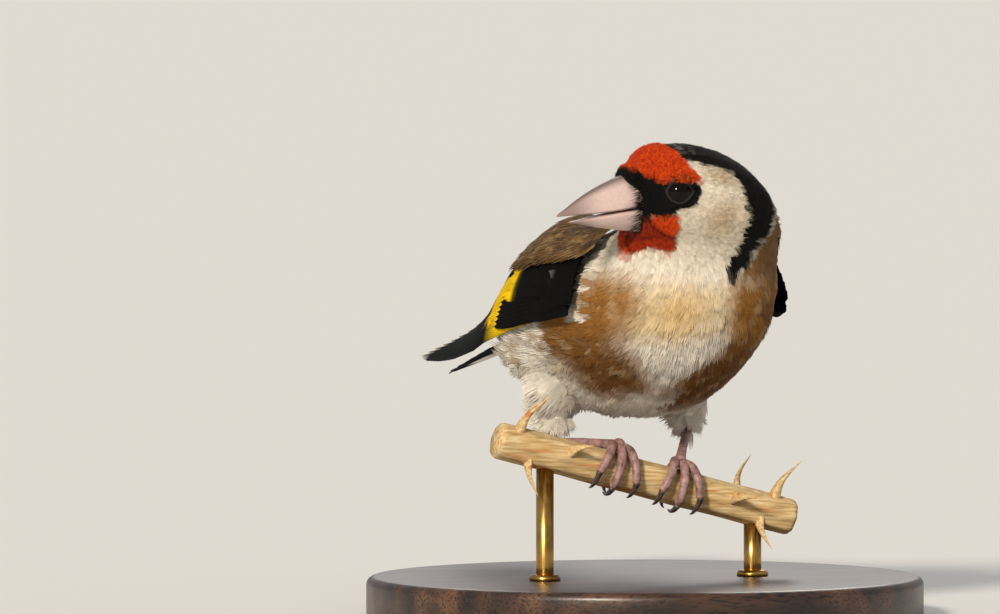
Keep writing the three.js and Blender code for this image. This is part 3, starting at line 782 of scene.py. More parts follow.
def under_wing(points):
    """True where a point of the skin lies under a folded wing."""
    along, across = np.meshgrid(SHEET_ALONG, SHEET_ACROSS)
    cover = wing_sheet(along.ravel(), across.ravel(), 0.0)
    mirrored = points * np.array([-1, 1, 1])
    near = np.zeros(len(points), bool)
    for group in (points, mirrored):
        for start in range(0, len(points), AT_A_TIME):
            some = slice(start, start + AT_A_TIME)
            gap = np.linalg.norm(group[some, None] - cover[None], axis=2).min(axis=1)
            near[some] |= gap < UNDER_WING_GAP
    return near


def near_eye(points):
    """True where a point of the skin lies in an eye's opening."""
    local = to_head(points)
    gaps = []
    for side in (-1, 1):
        away = local - EYE_PLACE * [side, 1, 1]
        look = unit(EYE_LOOK) * [side, 1, 1]
        off_axis = away - look * (away @ look)[:, None]
        gaps.append(np.where(away @ look > -0.5, np.linalg.norm(off_axis, axis=1), 99))
    return np.minimum(*gaps) < EYE_OPENING


def at_bill(points):
    """True where the bill covers the skin."""
    local = to_head(points)
    across = np.hypot(local[:, 0] / 2.9, (local[:, 2] + 1.0) / 3.9)
    return (across < 1) & (local[:, 1] < -8)


BODY_TUFTS = 23000
HEAD_TUFTS = 17000
TUFT_SEEN = 0.82  # where along a tuft its colour is taken, since its tip shows most
RED_LENGTH = 1.2  # at most
TUFT_WIDTH = 0.36  # widths are shares of the length
RED_WIDTH = 0.85
FRINGE_WIDTH = 0.24
HEAD_BEND = 11.0  # radius of the surface that a tuft curls over
BODY_BEND = 20.0
COVER_BEND = 26.0


def tuft_colours(tint, rng, bead=None):
    """Colours along tufts: darker at the root as painted shade where tufts cover each other,
    with barbs that differ a little. Those with a bead, a share from 0 to 1, get more painted
    shade at the root and end in a painted orange highlight."""
    count = len(tint)
    # Painted shade: each tuft darker towards its covered root
    root_shade = 0.7 + 0.3 * smooth(0.1, 0.75, TUFT_POINTS[:, 1])
    colours = tint[:, None] * root_shade[None, :, None]
    barb = np.ones((count, len(TUFT_POINTS)))
    for ends in barb_slices():
        barb[:, ends] = rng.uniform(0.9, 1.07, (count, 1))
    colours = colours * barb[..., None]
    if bead is not None:
        # Painted highlight at each bead's tip, and painted shade at its root
        tip = bead[:, None] * smooth(0.45, 0.95, TUFT_POINTS[:, 1])[None]
        colours = blend(colours, RED_BEAD_HIGHLIGHT, 0.8 * tip * rng.uniform(0.1, 1.2, (count, 1)))
        root = bead[:, None] * smooth(0.8, 0.3, TUFT_POINTS[:, 1])[None]
        colours = colours * (1 - 0.75 * root)[..., None]
    return colours


def follow_skin(roots, normals, ways, length, tilt):
    """Bend that keeps each tuft's tip close over the skin, where the skin is hollow too."""
    corners = [p.vertices[:] for p in skin.data.polygons]
    tree = BVHTree.FromPolygons((vertex_array(skin.data) / MM).tolist(), corners)
    tips = roots + ways * length[:, None]
    under = np.array([tree.find_nearest(tip)[0][:] for tip in tips])
    height = np.sum((under - roots) * normals, axis=1)
    curve = (0.35 * np.tan(tilt) * length - height) / length**2
    return 1 / (2 * np.where(np.abs(curve) < 1e-4, 1e-4, curve))


def make_coat():
    """Tufts all over the skin, but for the eyes, the bill and what the wings cover."""
    rng = np.random.default_rng(21)
    body = skin_samples(BODY_TUFTS, lambda p, n: (1 - head_share(p)) * (1 + 2 * shin_share(p)), rng)
    head = skin_samples(HEAD_TUFTS, lambda p, n: head_share(p) / feather_length(p) ** 1.3, rng)
    roots, normals = (np.concatenate(pair) for pair in zip(body, head))
    keep = ~(under_wing(roots) | near_eye(roots) | at_bill(roots))
    keep &= (shin_share(roots) < 0.5) | (normals[:, 2] > -0.45)
    roots, normals = roots[keep], normals[keep]
    ways = lie_of_coat(roots, normals)
    count = len(roots)
    sides = np.cross(ways, normals)
    yaw = rng.normal(0, 0.13, count) + 0.16 * wobble(roots, 5.0, 31)
    ways = unit(ways + sides * yaw[:, None])
    length = feather_length(roots) * rng.uniform(0.8, 1.18, count)
    seen = roots + ways * (TUFT_SEEN * length)[:, None]
    red, deep, crease = red_share(seen)
    length = length * (1 - 0.45 * shin_share(roots))
    length = np.where(red > 0.5, np.minimum(length, RED_LENGTH), length)
    width = np.where(red > 0.5, RED_WIDTH, TUFT_WIDTH) * length
    fluff = smooth(16, 9, roots[:, 2] - STEM_HEIGHT)
    throat = throat_share(roots)
    length = length * (1 - 0.15 * throat)
    width = width * (1 - 0.15 * throat)
    tilt = np.radians((rng.uniform(5, 12, count) + 7 * fluff) * (1 - 0.2 * throat) + 15 * red)
    bend = np.where(head_share(roots) > 0.5, HEAD_BEND, BODY_BEND)
    bend = np.where(throat > 0.05, follow_skin(roots, normals, ways, length, tilt), bend)
    points = tuft_mesh(roots, normals, ways, length, width, tilt, bend, rng)
    tint = plumage_colours(seen) * rng.uniform(0.88, 1.08, (count, 1))
    # The beads' painted highlights are weaker where the chin's painted shade and shadow lie
    bead = red * (1 - 0.6 * deep) * (1 - 0.9 * crease)
    tuft_pieces("coat", points, tuft_colours(tint, rng, bead), roots)


def sheet_roots(along, across, lift, side):
    """Places on a wing's sheet, their outward normals and the way along the wing."""
    here = wing_sheet(along, across, lift)
    on = wing_sheet(along + 0.1, across, lift) - here
    over = wing_sheet(along, across + 0.1, lift) - here
    normal = unit(np.cross(on, over))
    normal *= np.sign(normal[:, :1])
    mirror = np.array([side, 1, 1])
    return here * mirror, normal * mirror, unit(on) * mirror, unit(over) * mirror


SCAPULARS = 900
FRINGE = 420
FLANK_TUFTS = 650


def make_wing_covers(side):
    """Soft feathers over a wing: brown scapulars along its top, and the loose feathers of
    the breast's side and the flank, which hide its front and lower edges."""
    rng = np.random.default_rng(33)
    along = rng.uniform(-17, 5.5, SCAPULARS)
    across = rng.uniform(10.2, 17.5, SCAPULARS) + 0.08 * np.maximum(along, -8)
    lift = 1.15 + 0.05 * (5.5 - along)
    roots, normals, ways, over = sheet_roots(along, across, lift, side)
    ways = unit(ways - over * rng.normal(0.16, 0.1, (SCAPULARS, 1)))
    length = rng.uniform(4.5, 6.8, SCAPULARS)
    width = TUFT_WIDTH * length
    tilt = np.radians(rng.uniform(1, 7, SCAPULARS))
    bend = np.full(SCAPULARS, COVER_BEND)
    points = tuft_mesh(roots, normals, ways, length, width, tilt, bend, rng)
    tint = np.tile(linear(MANTLE_BROWN), (SCAPULARS, 1))
    tint = blend(tint, MANTLE_DARK, rng.random(SCAPULARS))
    tint = blend(tint, EAR_BUFF, 0.5 * (rng.random(SCAPULARS) > 0.8))
    # Painted shade: the scapulars turn slate grey at the front of their upper edge, where the
    # mantle lies in shadow
    shade = smooth(-9, -13, along) * smooth(13, 15, across)
    tint = blend(tint, SHADE_SLATE, 0.8 * shade)
    name = f"scapulars_{SIDE_NAMES[side]}"
    tuft_pieces(name, points, tuft_colours(tint, rng), roots)

    grow_fringe(
        "side_fringe", side, FRINGE, rng, weight=in_front_of_wing,
        white_from=(-17.2, -15.6), lie=(0.2, 1.0, -0.12), lift=(8, 18), sizes=(3.6, 5.4),
    )
    grow_fringe(
        "flank", side, FLANK_TUFTS, rng, weight=below_wing,
        white_from=(-8.0, -3.0), lie=(0.1, 1.0, 0.2), lift=(7, 15), sizes=(4.4, 6.6),
    )


def in_front_of_wing(points):
    """Weight of skin just ahead of a wing's front edge."""
    x, y, z = np.abs(points[:, 0]), points[:, 1], points[:, 2] - STEM_HEIGHT
    height = smooth(22.5, 24.5, z) * smooth(38, 34, z)
    return smooth(-18.5, -16.5, y) * (1 - smooth(-13.5, -12.5, y)) * (x > 8) * height


def below_wing(points):
    """Weight of the flank's skin along a wing's lower edge."""
    x, y, z = np.abs(points[:, 0]), points[:, 1], points[:, 2] - STEM_HEIGHT
    gap = np.interp(y, WING_ROWS[:, 0], WING_ROWS[:, 2]) - z
    return (gap > -0.6) * (gap < 5) * (y > -14) * (y < 13) * (x > 9)


def grow_fringe(name, side, wanted, rng, weight, white_from, lie, lift, sizes):
    """Long loose feathers from the skin beside a wing, lying out over its edge. They take
    the coat's colours and turn white over the range of Y given. Lift is in degrees."""
    way = np.array(lie) * [side, 1, 1]
    roots, normals = skin_samples(
        wanted, lambda p, n: weight(p) * (p[:, 0] * side > 0) * (n[:, 0] * side > 0.1), rng
    )
    ways = way - normals * (normals @ way)[:, None]
    sides = np.cross(unit(ways), normals)
    ways = unit(unit(ways) + sides * rng.normal(0, 0.16, (wanted, 1)))
    near_side = side < 0  # the camera sees the right side's ends, and the left lies closer
    length = rng.uniform(*sizes, wanted) * (1.0 if near_side else 0.75)
    tilt = np.radians(rng.uniform(*lift, wanted)) * (1.0 if near_side else 0.5)
    width, bend = FRINGE_WIDTH * length, np.full(wanted, COVER_BEND)
    points = tuft_mesh(roots, normals, ways, length, width, tilt, bend, rng)
    under = plumage_colours(roots)
    late = smooth(*white_from, roots[:, 1] + rng.normal(0, 0.4, wanted))[:, None]
    white = np.tile(linear(BELLY_WHITE), (wanted, 1))
    white = blend(white, FLANK_GREY, 0.8 * (rng.random(wanted) > 0.55))
    white = blend(white, EAR_BUFF, 0.6 * (rng.random(wanted) > 0.8))
    tint = under * (1 - late) + white * late
    # The far side's fringe is blended towards brown: partly the breast's own brown, partly painted
    # shade, as that side lies away from the light
    if not near_side:
        tint = blend(tint, NAPE_BROWN, 0.8)
    tuft_pieces(f"{name}_{SIDE_NAMES[side]}", points, tuft_colours(tint, rng), roots)


# Vanes of the wings and tail: closed blades with a raised shaft and a jagged edge


def vane_arrays(sheet, start, end, half, lift, shingle, rng, rows=14, taper=0.62, point=0.5):
    """Points of one closed blade in millimetres, its faces, and each point's place as
    across from -1 to 1 and along from 0 to 1. The shingle lifts one edge over the next
    blade, and the blade narrows from the share taper, to a tip as sharp as point says."""
    columns = np.array([-1, -0.62, -0.28, 0, 0.28, 0.62, 1])
    share = 1 - (1 - np.linspace(0, 1, rows)) ** 1.3
    along = start[0] + (end[0] - start[0]) * share
    middle = start[1] + (end[1] - start[1]) * share
    late = np.clip((share - taper) / (1 - taper), 0, 1)
    round_off = np.sqrt(1 - late**2 * 0.97) * (1 - point * 0.5 * late)
    reach = half * np.where(share < taper, 0.6 + 0.4 * share / taper, round_off)
    jag = rng.uniform(-0.06, 0.03, (rows, 2)) * half
    across = middle[:, None] + columns[None] * reach[:, None]
    across[:, 0] += jag[:, 0]
    across[:, -1] -= jag[:, 1]
    curl = 0.1 * half * (1 - columns**2)
    shaft = np.where(columns == 0, 0.1, 0.0)
    rise = lift - shingle * columns[None] * (reach / half)[:, None] + curl + shaft
    trail = along[:, None] - 0.25 * half * np.abs(columns[None]) ** 1.5 * late[:, None]
    top = sheet(trail, across, rise + 0.03)
    low = sheet(trail, across, rise - 0.09 - shaft)
    size = rows * len(columns)
    wide = len(columns)
    points = np.concatenate([top.reshape(-1, 3), low.reshape(-1, 3)])
    faces = []
    for r in range(rows - 1):
        for c in range(wide - 1):
            a = r * wide + c
            faces.append((a, a + 1, a + wide + 1, a + wide))
            faces.append((size + a, size + a + wide, size + a + wide + 1, size + a + 1))
        for c, flip in ((0, False), (wide - 1, True)):
            a, b = r * wide + c, (r + 1) * wide + c
            edge = (a, b, b + size, a + size)
            faces.append(edge[::-1] if flip else edge)
    for r, flip in ((0, True), (rows - 1, False)):
        for c in range(wide - 1):
            a = r * wide + c
            edge = (a, a + 1, a + 1 + size, a + size)
            faces.append(edge if flip else edge[::-1])
    spot = np.stack(np.broadcast_arrays(columns[None], share[:, None]), axis=-1).reshape(-1, 2)
    return points, np.array(faces), np.concatenate([spot, spot])


def join_vanes(name, vanes):
    """One mesh from many vanes, each given as points, faces, places and colours."""
    points, faces, places, colours, first = [], [], [], [], 0
    for vane_points, vane_faces, vane_places, vane_colours in vanes:
        points.append(vane_points)
        faces.append(vane_faces + first)
        places.append(vane_places)
        colours.append(vane_colours)
        first += len(vane_points)
    places = np.concatenate(places)
    made = fast_object(name, np.concatenate(points) * MM, np.concatenate(faces), flight)
    paint(made, np.concatenate(colours))
    corner = loop_vertices(made.data)
    slanted = places[:, 1] * 6 + np.abs(places[:, 0]) * 0.9
    add_uv(made, "Barbs", np.stack([slanted, places[:, 1]], axis=-1)[corner])
    return made


# Tiers of a wing's feathers: first and last root and tip, as along and across the sheet, half
# their width, height off the sheet, and how the tips gather towards the first
WING_TIERS = (
    dict(name="primary", count=9, root=((-9, 1.8), (-3, 5.4)), tip=((60, 1.2), (35, 6.6)),
         half=2.1, lift=0.0, curve=1.35),
    dict(name="secondary", count=6, root=((-2, 6.2), (2, 10.2)), tip=((33, 7.4), (29.5, 11)),
         half=2.4, lift=0.2, curve=1.0),
    dict(name="tertial", count=3, root=((2, 11), (5, 14.6)), tip=((32, 12), (20.5, 15.4)),
         half=3.1, lift=0.42, curve=1.0),
    dict(name="primary_covert", count=7, root=((-11, 1.2), (-8, 4.8)), tip=((10.5, 1.2), (9, 5.2)),
         half=1.2, lift=0.5, curve=1.0),
    dict(name="greater_covert", count=9, root=((-8, 5), (-4, 15)), tip=((9.5, 5.6), (9, 15.6)),
         half=1.6, lift=0.62, curve=1.0),
    dict(name="alula", count=3, root=((-13.5, 1.2), (-12.5, 3.4)), tip=((0, 1.4), (-5, 3.6)),
         half=1.3, lift=0.85, curve=1.0),
    dict(name="median_covert", count=9, root=((-10.5, 4.6), (-7, 15)), tip=((-2, 5.2), (0.5, 15)),
         half=1.7, lift=0.9, curve=1.0),
    dict(name="lesser_covert", count=10, root=((-14.5, 3.0), (-11.5, 14.5)),
         tip=((-6.5, 3.4), (-4.5, 14.6)), half=1.6, lift=1.05, curve=1.0),
)


def wing_colours(name, points, places, across_share):
    """Colours of a wing feather: black, a yellow bar across the wing and white tips."""
    y = points[:, 1]
    colours = np.tile(linear(WING_BLACK), (len(points), 1))
    if name in ("primary", "secondary"):
        bar = smooth(-2, 0, y) * (1 - smooth(15.5, 17, y + 0.8 * places[:, 0] ** 2))
        bar = bar * (1 - smooth(0.75, 1.0, across_share) * (name == "secondary"))
        colours = blend(colours, WING_YELLOW, bar)
        tip = smooth(0.955, 0.985, places[:, 1] + 0.02 * places[:, 0] ** 2)
        colours = blend(colours, TIP_WHITE, tip)
        # Painted sheen: the outer edges turn grey towards the tips, standing in for the sky's
        # reflection
        edge = smooth(20, 34, y) * smooth(0.55, 0.95, -places[:, 0])
        colours = blend(colours, WING_GREY_AND_SHEEN, 0.12 * edge)
    if name == "tertial":
        colours = blend(colours, TIP_WHITE, smooth(0.92, 0.97, places[:, 1]))
    if name == "greater_covert":
        bar = smooth(0.7, 0.76, places[:, 1]) * (1 - smooth(0.5, 0.65, across_share))
        colours = blend(colours, WING_YELLOW, bar)
    if name == "lesser_covert":
        spot = smooth(0.7, 0.9, places[:, 1]) * np.exp(-(((across_share - 0.33) / 0.06) ** 2))
        colours = blend(colours, WING_GREY_AND_SHEEN, 0.5 * spot)
        colours = blend(colours, MANTLE_DARK, 0.8 * smooth(0.6, 0.9, across_share))
    return colours


def make_wing(side):
    """Folded wing as tiers of vanes. Side is 1 for the left wing and -1 for the right."""
    rng = np.random.default_rng(5)
    vanes = []
    for tier in WING_TIERS:
        (root_a, root_b), (tip_a, tip_b) = np.array(tier["root"]), np.array(tier["tip"])
        for k in range(tier["count"]):
            share = k / (tier["count"] - 1)
            start = root_a + (root_b - root_a) * share
            end = tip_a + (tip_b - tip_a) * np.array([share ** tier["curve"], share])
            points, faces, places = vane_arrays(
                wing_sheet, start, end, tier["half"] * rng.uniform(0.96, 1.06),
                tier["lift"] + 0.1 * share, 0.22, rng,
            )
            colours = wing_colours(tier["name"], points, places, np.full(len(points), share))
            colours = colours * rng.uniform(0.85, 1.15)
            if side < 0:
                points = points * np.array([-1, 1, 1])
                faces = faces[:, ::-1]
            vanes.append((points, faces, places, colours))
    made = join_vanes(f"feathers_wing_{SIDE_NAMES[side]}", vanes)
    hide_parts(f"wing_{SIDE_NAMES[side]}")


TAIL_PAIRS = 6
TAIL_LENGTH = 45
TAIL_HALF = 2.45


def make_tail():
    """Forked tail: six pairs of black vanes, white spotted towards their tips."""
    rng = np.random.default_rng(9)
    vanes = []
    for k in range(TAIL_PAIRS - 1, -1, -1):
        for side in (-1, 1):
            start = np.array([0.0, side * (0.4 + 0.3 * k)])
            end = np.array([TAIL_LENGTH - 1.2 + 0.75 * k, side * (0.9 + 0.92 * k)])
            points, faces, places = vane_arrays(
                tail_sheet, start, end, TAIL_HALF, -0.27 * k, 0.06 * side, rng, taper=0.8
            )
            colours = np.tile(linear(WING_BLACK), (len(points), 1))
            inner = smooth(0.1, 0.35, -side * places[:, 0])
            spot = smooth(0.6, 0.68, places[:, 1]) * (1 - smooth(0.86, 0.92, places[:, 1]))
            colours = blend(colours, TIP_WHITE, spot * inner * (1.0 if k >= 3 else 0.0))
            colours = blend(colours, TIP_WHITE, smooth(0.955, 0.98, places[:, 1]) * (k < 4))
            vanes.append((points, faces, places, colours))
    made = join_vanes("feathers_tail", vanes)
    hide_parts("tail")


# Hard parts: bill, eyes, lids, legs, stem and stand


def row_at(table, share):
    """Smooth row of a station table, mirrored past its round ends, as the solids are."""
    last = len(table) - 1
    place = min(share * last, last - 1e-9)
    i = math.floor(place)
    t = place - i

    def row(k):
        """Row k, or one past an end."""
        if 0 <= k <= last:
            return table[k]
        end, near = (table[0], table[1]) if k < 0 else (table[last], table[last - 1])
        return np.concatenate([near[:1], 2 * end[1:] - near[1:]])

    return catmull_rom(*(row(i + k) for k in (-1, 0, 1, 2)), t)


def ringed_solid(name, rings, material, closed_ends=True):
    """Closed mesh through rings of points in millimetres, with fans over its ends."""
    rings = np.asarray(rings)
    count, sides = rings.shape[:2]
    points = rings.reshape(-1, 3)
    faces = []
    for r in range(count - 1):
        for k in range(sides):
            a, b = r * sides + k, r * sides + (k + 1) % sides
            faces.append((a, b, b + sides, a + sides))
    if closed_ends:
        points = np.concatenate([points, rings[0].mean(0)[None], rings[-1].mean(0)[None]])
        first, last = count * sides, count * sides + 1
        start = (count - 1) * sides
        for k in range(sides):
            faces.append((first, (k + 1) % sides, k))
            faces.append((last, start + k, start + (k + 1) % sides))
    made = object_from(name, points * MM, faces, material)
    shape = bmesh.new()
    shape.from_mesh(made.data)
    bmesh.ops.recalc_face_normals(shape, faces=shape.faces)
    shape.to_mesh(made.data)
    shape.free()
    return made


# The bill's halves in the head's frame: place forwards, top, underside and half width
UPPER_BILL = np.array(
    [
        [-8, 1, 1, 0],
        [-9, 3.7, -0.9, 3],
        [-12, 3.4, -1.2, 3],
        [-15.5, 2.2, -1.7, 2.2],
        [-19, 0.5, -2.1, 1.2],
        [-21.8, -1.3, -2.4, 0.5],
        [-23.6, -2.7, -2.7, 0],
    ],
    float,
)
LOWER_BILL = np.array(
    [
        [-8, -3.2, -3.2, 0],
        [-9, -1.8, -5, 2.7],
        [-12, -2.1, -4.9, 2.6],
        [-15.5, -2.6, -4.5, 1.9],
        [-19, -3.1, -3.9, 0.9],
        [-21.6, -3.5, -3.5, 0],
    ],
    float,
)


def horn_material():
    """Living horn: pinkish white, waxy, faintly streaked along the bill, darker on the
    ridge and at the tip."""
    material, tree, shader = new_material("bill_horn")
    tint = add(tree, "ShaderNodeVertexColor", {"layer_name": "plumage"})
    turned = add(
        tree,
        "ShaderNodeMapping",
        Vector=add(tree, "ShaderNodeTexCoord").outputs["Object"],
        Rotation=(0, math.radians(-14), -HEAD_TURN),
        Scale=(1.0, 0.12, 1.0),
    )
    lined = turned.outputs[0]
    streaks = add(tree, "ShaderNodeTexNoise", Vector=lined, Scale=BILL_STREAKS, Detail=4.0)
    shade = add(tree, "ShaderNodeMapRange", _0=streaks.outputs[0], _1=0.3, _2=0.7, _3=0.92, _4=1.04)
    mixed = add(
        tree,
        "ShaderNodeMix",
        {"data_type": "RGBA", "blend_type": "MULTIPLY"},
        _0=1.0,
        _6=tint.outputs["Color"],
        _7=shade.outputs[0],
    )
    bump = add(tree, "ShaderNodeBump", Strength=0.3, Distance=0.00005, Height=streaks.outputs[0])
    finish = {
        "Base Color": mixed.outputs[2],
        "Normal": bump.outputs[0],
        "Roughness": 0.36,
        "IOR": KERATIN_IOR,
        "Subsurface Weight": 0.12,
        "Subsurface Radius": (0.0012, 0.0006, 0.0004),
        "Subsurface Scale": 1.0,
    }
    connect(tree, shader, finish)
    return material


def make_bill():
    """Both halves of the bill, darker along the ridge, at the tip and at the base, and
    reddish in the mouth's corners."""
    horn = horn_material()
    rings_count, sides = 44, 32
    for name, table, upper in (("upper", UPPER_BILL, True), ("lower", LOWER_BILL, False)):
        rings = []
        for r in range(1, rings_count):
            along, top, under, half = row_at(table, r / rings_count)
            angle = np.linspace(0, 2 * math.pi, sides, endpoint=False)
            turn = np.sin(angle) if upper else -np.sin(angle)
            deep = top - under
            reach = np.cos(angle) * half * (1 - 0.3 * np.maximum(0, turn))
            rise = np.where(turn > 0, turn * deep, turn * 0.12 * deep)
            height = under + rise if upper else top - rise
            rings.append(np.stack([reach, np.full(sides, along), height], axis=-1))
        local = np.concatenate(rings)
        made = ringed_solid(f"horn_bill_{name}", from_head(rings), horn)
        ends = np.array([rings[0].mean(0), rings[-1].mean(0)])
        local = np.concatenate([local, ends])
        colours = np.tile(linear(BILL_PINK), (len(local), 1))
        ridge = smooth(0.72, 0.97, np.append(np.tile(turn, rings_count - 1), [0, 0]))
        tip = smooth(-16.0, -22.0, local[:, 1])
        colours = blend(colours, BILL_RIDGE, (0.85 if upper else 0.0) * ridge)
        colours = blend(colours, BILL_TIP, 0.75 * tip)
        base = smooth(-12.5, -9.5, local[:, 1])
        colours = blend(colours, BILL_TIP, 0.5 * base)
        edge = -1.0 - 0.11 * (-local[:, 1] - 9)
        mouth = np.exp(-(((local[:, 2] - edge) / 0.45) ** 2)) * smooth(-14.5, -11, local[:, 1])
        colours = blend(colours, GAPE_RED, 0.6 * mouth)
        paint(made, colours)
        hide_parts(f"bill_{name}")


def bristle_material():
    """Bristles: thin stiff bare shafts, black brown and half glossy."""
    material, tree, shader = new_material("face_bristles")
    where = add(tree, "ShaderNodeTexCoord").outputs["Object"]
    streak = add(tree, "ShaderNodeTexNoise", Vector=where, Scale=BRISTLE_STREAKS)
    ramp = add(tree, "ShaderNodeValToRGB", Fac=streak.outputs[0])
    set_ramp(ramp, (0.35, "#080706"), (0.7, "#1d1815"))
    connect(tree, shader, {"Base Color": ramp.outputs[0], "Roughness": 0.45})
    return material


def bristle_tree(material):
    """Geometry nodes that stand a tapered bristle on each root, along its way."""
    tree = bpy.data.node_groups.new("bristles_on_roots", "GeometryNodeTree")
    sockets = tree.interface
    sockets.new_socket("Geometry", in_out="INPUT", socket_type="NodeSocketGeometry")
    for name in ("Length", "Thickness"):
        sockets.new_socket(name, in_out="INPUT", socket_type="NodeSocketFloat")
    sockets.new_socket("Seed", in_out="INPUT", socket_type="NodeSocketInt")
    sockets.new_socket("Geometry", in_out="OUTPUT", socket_type="NodeSocketGeometry")
    given, result = add(tree, "NodeGroupInput"), add(tree, "NodeGroupOutput")
    shaft = add(
        tree, "GeometryNodeMeshCone", {"fill_type": "NGON"}, Vertices=5,
        **{"Radius Bottom": given.outputs["Thickness"], "Depth": given.outputs["Length"]},
    )
    way = add(tree, "GeometryNodeInputNamedAttribute", {"data_type": "FLOAT_VECTOR"}, Name="way")
    turn = add(tree, "FunctionNodeAlignRotationToVector", {"axis": "Z"}, Vector=way.outputs[0])
    size = add(
        tree, "FunctionNodeRandomValue", {"data_type": "FLOAT"},
        _2=0.55, _3=1.15, Seed=given.outputs["Seed"],
    )
    standing = add(
        tree, "GeometryNodeInstanceOnPoints",
        Points=given.outputs["Geometry"], Instance=shaft.outputs["Mesh"],
        Rotation=turn.outputs[0], Scale=size.outputs[1],
    )
    solid = add(tree, "GeometryNodeRealizeInstances", Geometry=standing.outputs[0])
    finished = add(tree, "GeometryNodeSetMaterial", Geometry=solid.outputs[0], Material=material)
    tree.links.new(finished.outputs[0], result.inputs[0])
    return tree


BRISTLES_A_SIDE = 150
CHIN_BRISTLES = 90
BRISTLE_LENGTH = 2.3
BRISTLE_THICKNESS = 0.055


def make_bristles():
    """Bristles round the root of the bill: over the nostrils, at the mouth's corners and
    under the chin, all lying forwards along the horn."""
    rng = np.random.default_rng(77)
    upper = rng.uniform(-0.2, 1.0, BRISTLES_A_SIDE)
    turn = np.concatenate([upper, rng.uniform(-1.35, 0.1, CHIN_BRISTLES)])
    out = np.stack([np.cos(turn), np.zeros(len(turn)), np.sin(turn)], axis=-1)
    places, ways = [], []
    for side in (-1, 1):
        mirror = np.array([side, 1, 1])
        ring = out * [3.1, 1, 4.25] + [0, 0, -0.65]
        ring[:, 1] = rng.uniform(-11.3, -9.3, len(turn)) - 0.5 * np.maximum(turn, 0)
        way = np.array([0, -1.0, 0]) + 0.3 * out + rng.normal(0, 0.16, ring.shape)
        way[:, 2] -= 0.35 * np.maximum(turn, 0) + 0.15
        places.append(from_head(ring * mirror))
        ways.append(turn_z(unit(way) * mirror, HEAD_TURN))
    places, ways = np.concatenate(places), np.concatenate(ways)
    roots = bpy.data.meshes.new("bristle_roots")
    roots.from_pydata([tuple(p) for p in places * MM], [], [])
    lie = roots.attributes.new("way", "FLOAT_VECTOR", "POINT")
    lie.data.foreach_set("vector", ways.astype(np.float32).ravel())
    holder = placed("bristle_roots", roots)
    tree = bristle_tree(bristle_material())
    grow = holder.modifiers.new("grow", "NODES")
    grow.node_group = tree
    values = {"Length": BRISTLE_LENGTH * MM, "Thickness": BRISTLE_THICKNESS * MM, "Seed": 4}
    for item in tree.interface.items_tree:
        if item.in_out == "INPUT" and item.name in values:
            grow[item.identifier] = values[item.name]
    made = applied(holder, "face_bristles")
    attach(made, "root")


def eye_material():
    """Wet cornea over a dark brown iris: nearly black, with a sharp mirror gloss."""
    material, tree, shader = new_material("eye_wet_brown")
    finish = {"Base Color": colour_of("#0c0604"), "Roughness": 0.05, "Specular IOR Level": 0.17}
    connect(tree, shader, finish)
    return material


def lid_material():
    """Bare skin of the lids: dark grey and finely pebbled."""
    material, tree, shader = new_material("lid_skin")
    where = add(tree, "ShaderNodeTexCoord").outputs["Object"]
    cells = add(tree, "ShaderNodeTexVoronoi", Vector=where, Scale=LID_PEBBLES)
    pebbles = cells.outputs["Distance"]
    ramp = add(tree, "ShaderNodeValToRGB", Fac=pebbles)
    set_ramp(ramp, (0.1, "#2a2421"), (0.7, "#0f0c0b"))
    bump = add(tree, "ShaderNodeBump", Strength=0.5, Distance=0.00006, Height=pebbles)
    finish = {
        "Base Color": ramp.outputs[0],
        "Normal": bump.outputs[0],
        "Roughness": 0.6,
        "Specular IOR Level": 0.2,
    }
    connect(tree, shader, finish)
    return material


LID_REACH = (1.7, 1.64)  # half the opening's length and height
LID_THICKNESS = (0.27, 0.22)


def make_eyes():
    """Eyeballs, each in a rim of lids that is drawn out a little at its corners."""
    wet, lid = eye_material(), lid_material()
    for side, name in ((1, "left"), (-1, "right")):
        look = unit(EYE_LOOK) * [side, 1, 1]
        place = EYE_PLACE * [side, 1, 1]
        ahead = unit(np.cross([0, 0, 1.0], look))
        above = np.cross(look, ahead)
        polar = np.linspace(0.05, math.pi - 0.05, 40)
        turn = np.linspace(0, 2 * math.pi, 48, endpoint=False)
        circle = ahead * np.cos(turn)[:, None] + above * np.sin(turn)[:, None]
        rings = [
            place + look * EYE_RADIUS * math.cos(p) + EYE_RADIUS * math.sin(p) * circle
            for p in polar
        ]
        ball = ringed_solid(f"eyeball_{name}", from_head(rings), wet)
        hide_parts(f"eye_{name}")
        lid_rings = []
        for p in np.linspace(0, 2 * math.pi, 61)[:-1]:
            corner = 0.3 * np.exp(-((math.sin(p) / 0.28) ** 2)) * (1 if math.cos(p) > 0 else 0.7)
            out = (LID_REACH[0] + corner) * math.cos(p) * ahead
            out = out + LID_REACH[1] * math.sin(p) * above
            middle = place + look * (1.3 - 0.5 * corner) + out
            wide, deep = LID_THICKNESS[0] * unit(out), LID_THICKNESS[1] * look
            round_lid = np.linspace(0, 2 * math.pi, 16, endpoint=False)
            lid_rings.append([middle + wide * math.cos(q) + deep * math.sin(q) for q in round_lid])
        lid_rings.append(lid_rings[0])
        rim = ringed_solid(f"lids_{name}", from_head(lid_rings), lid, closed_ends=False)


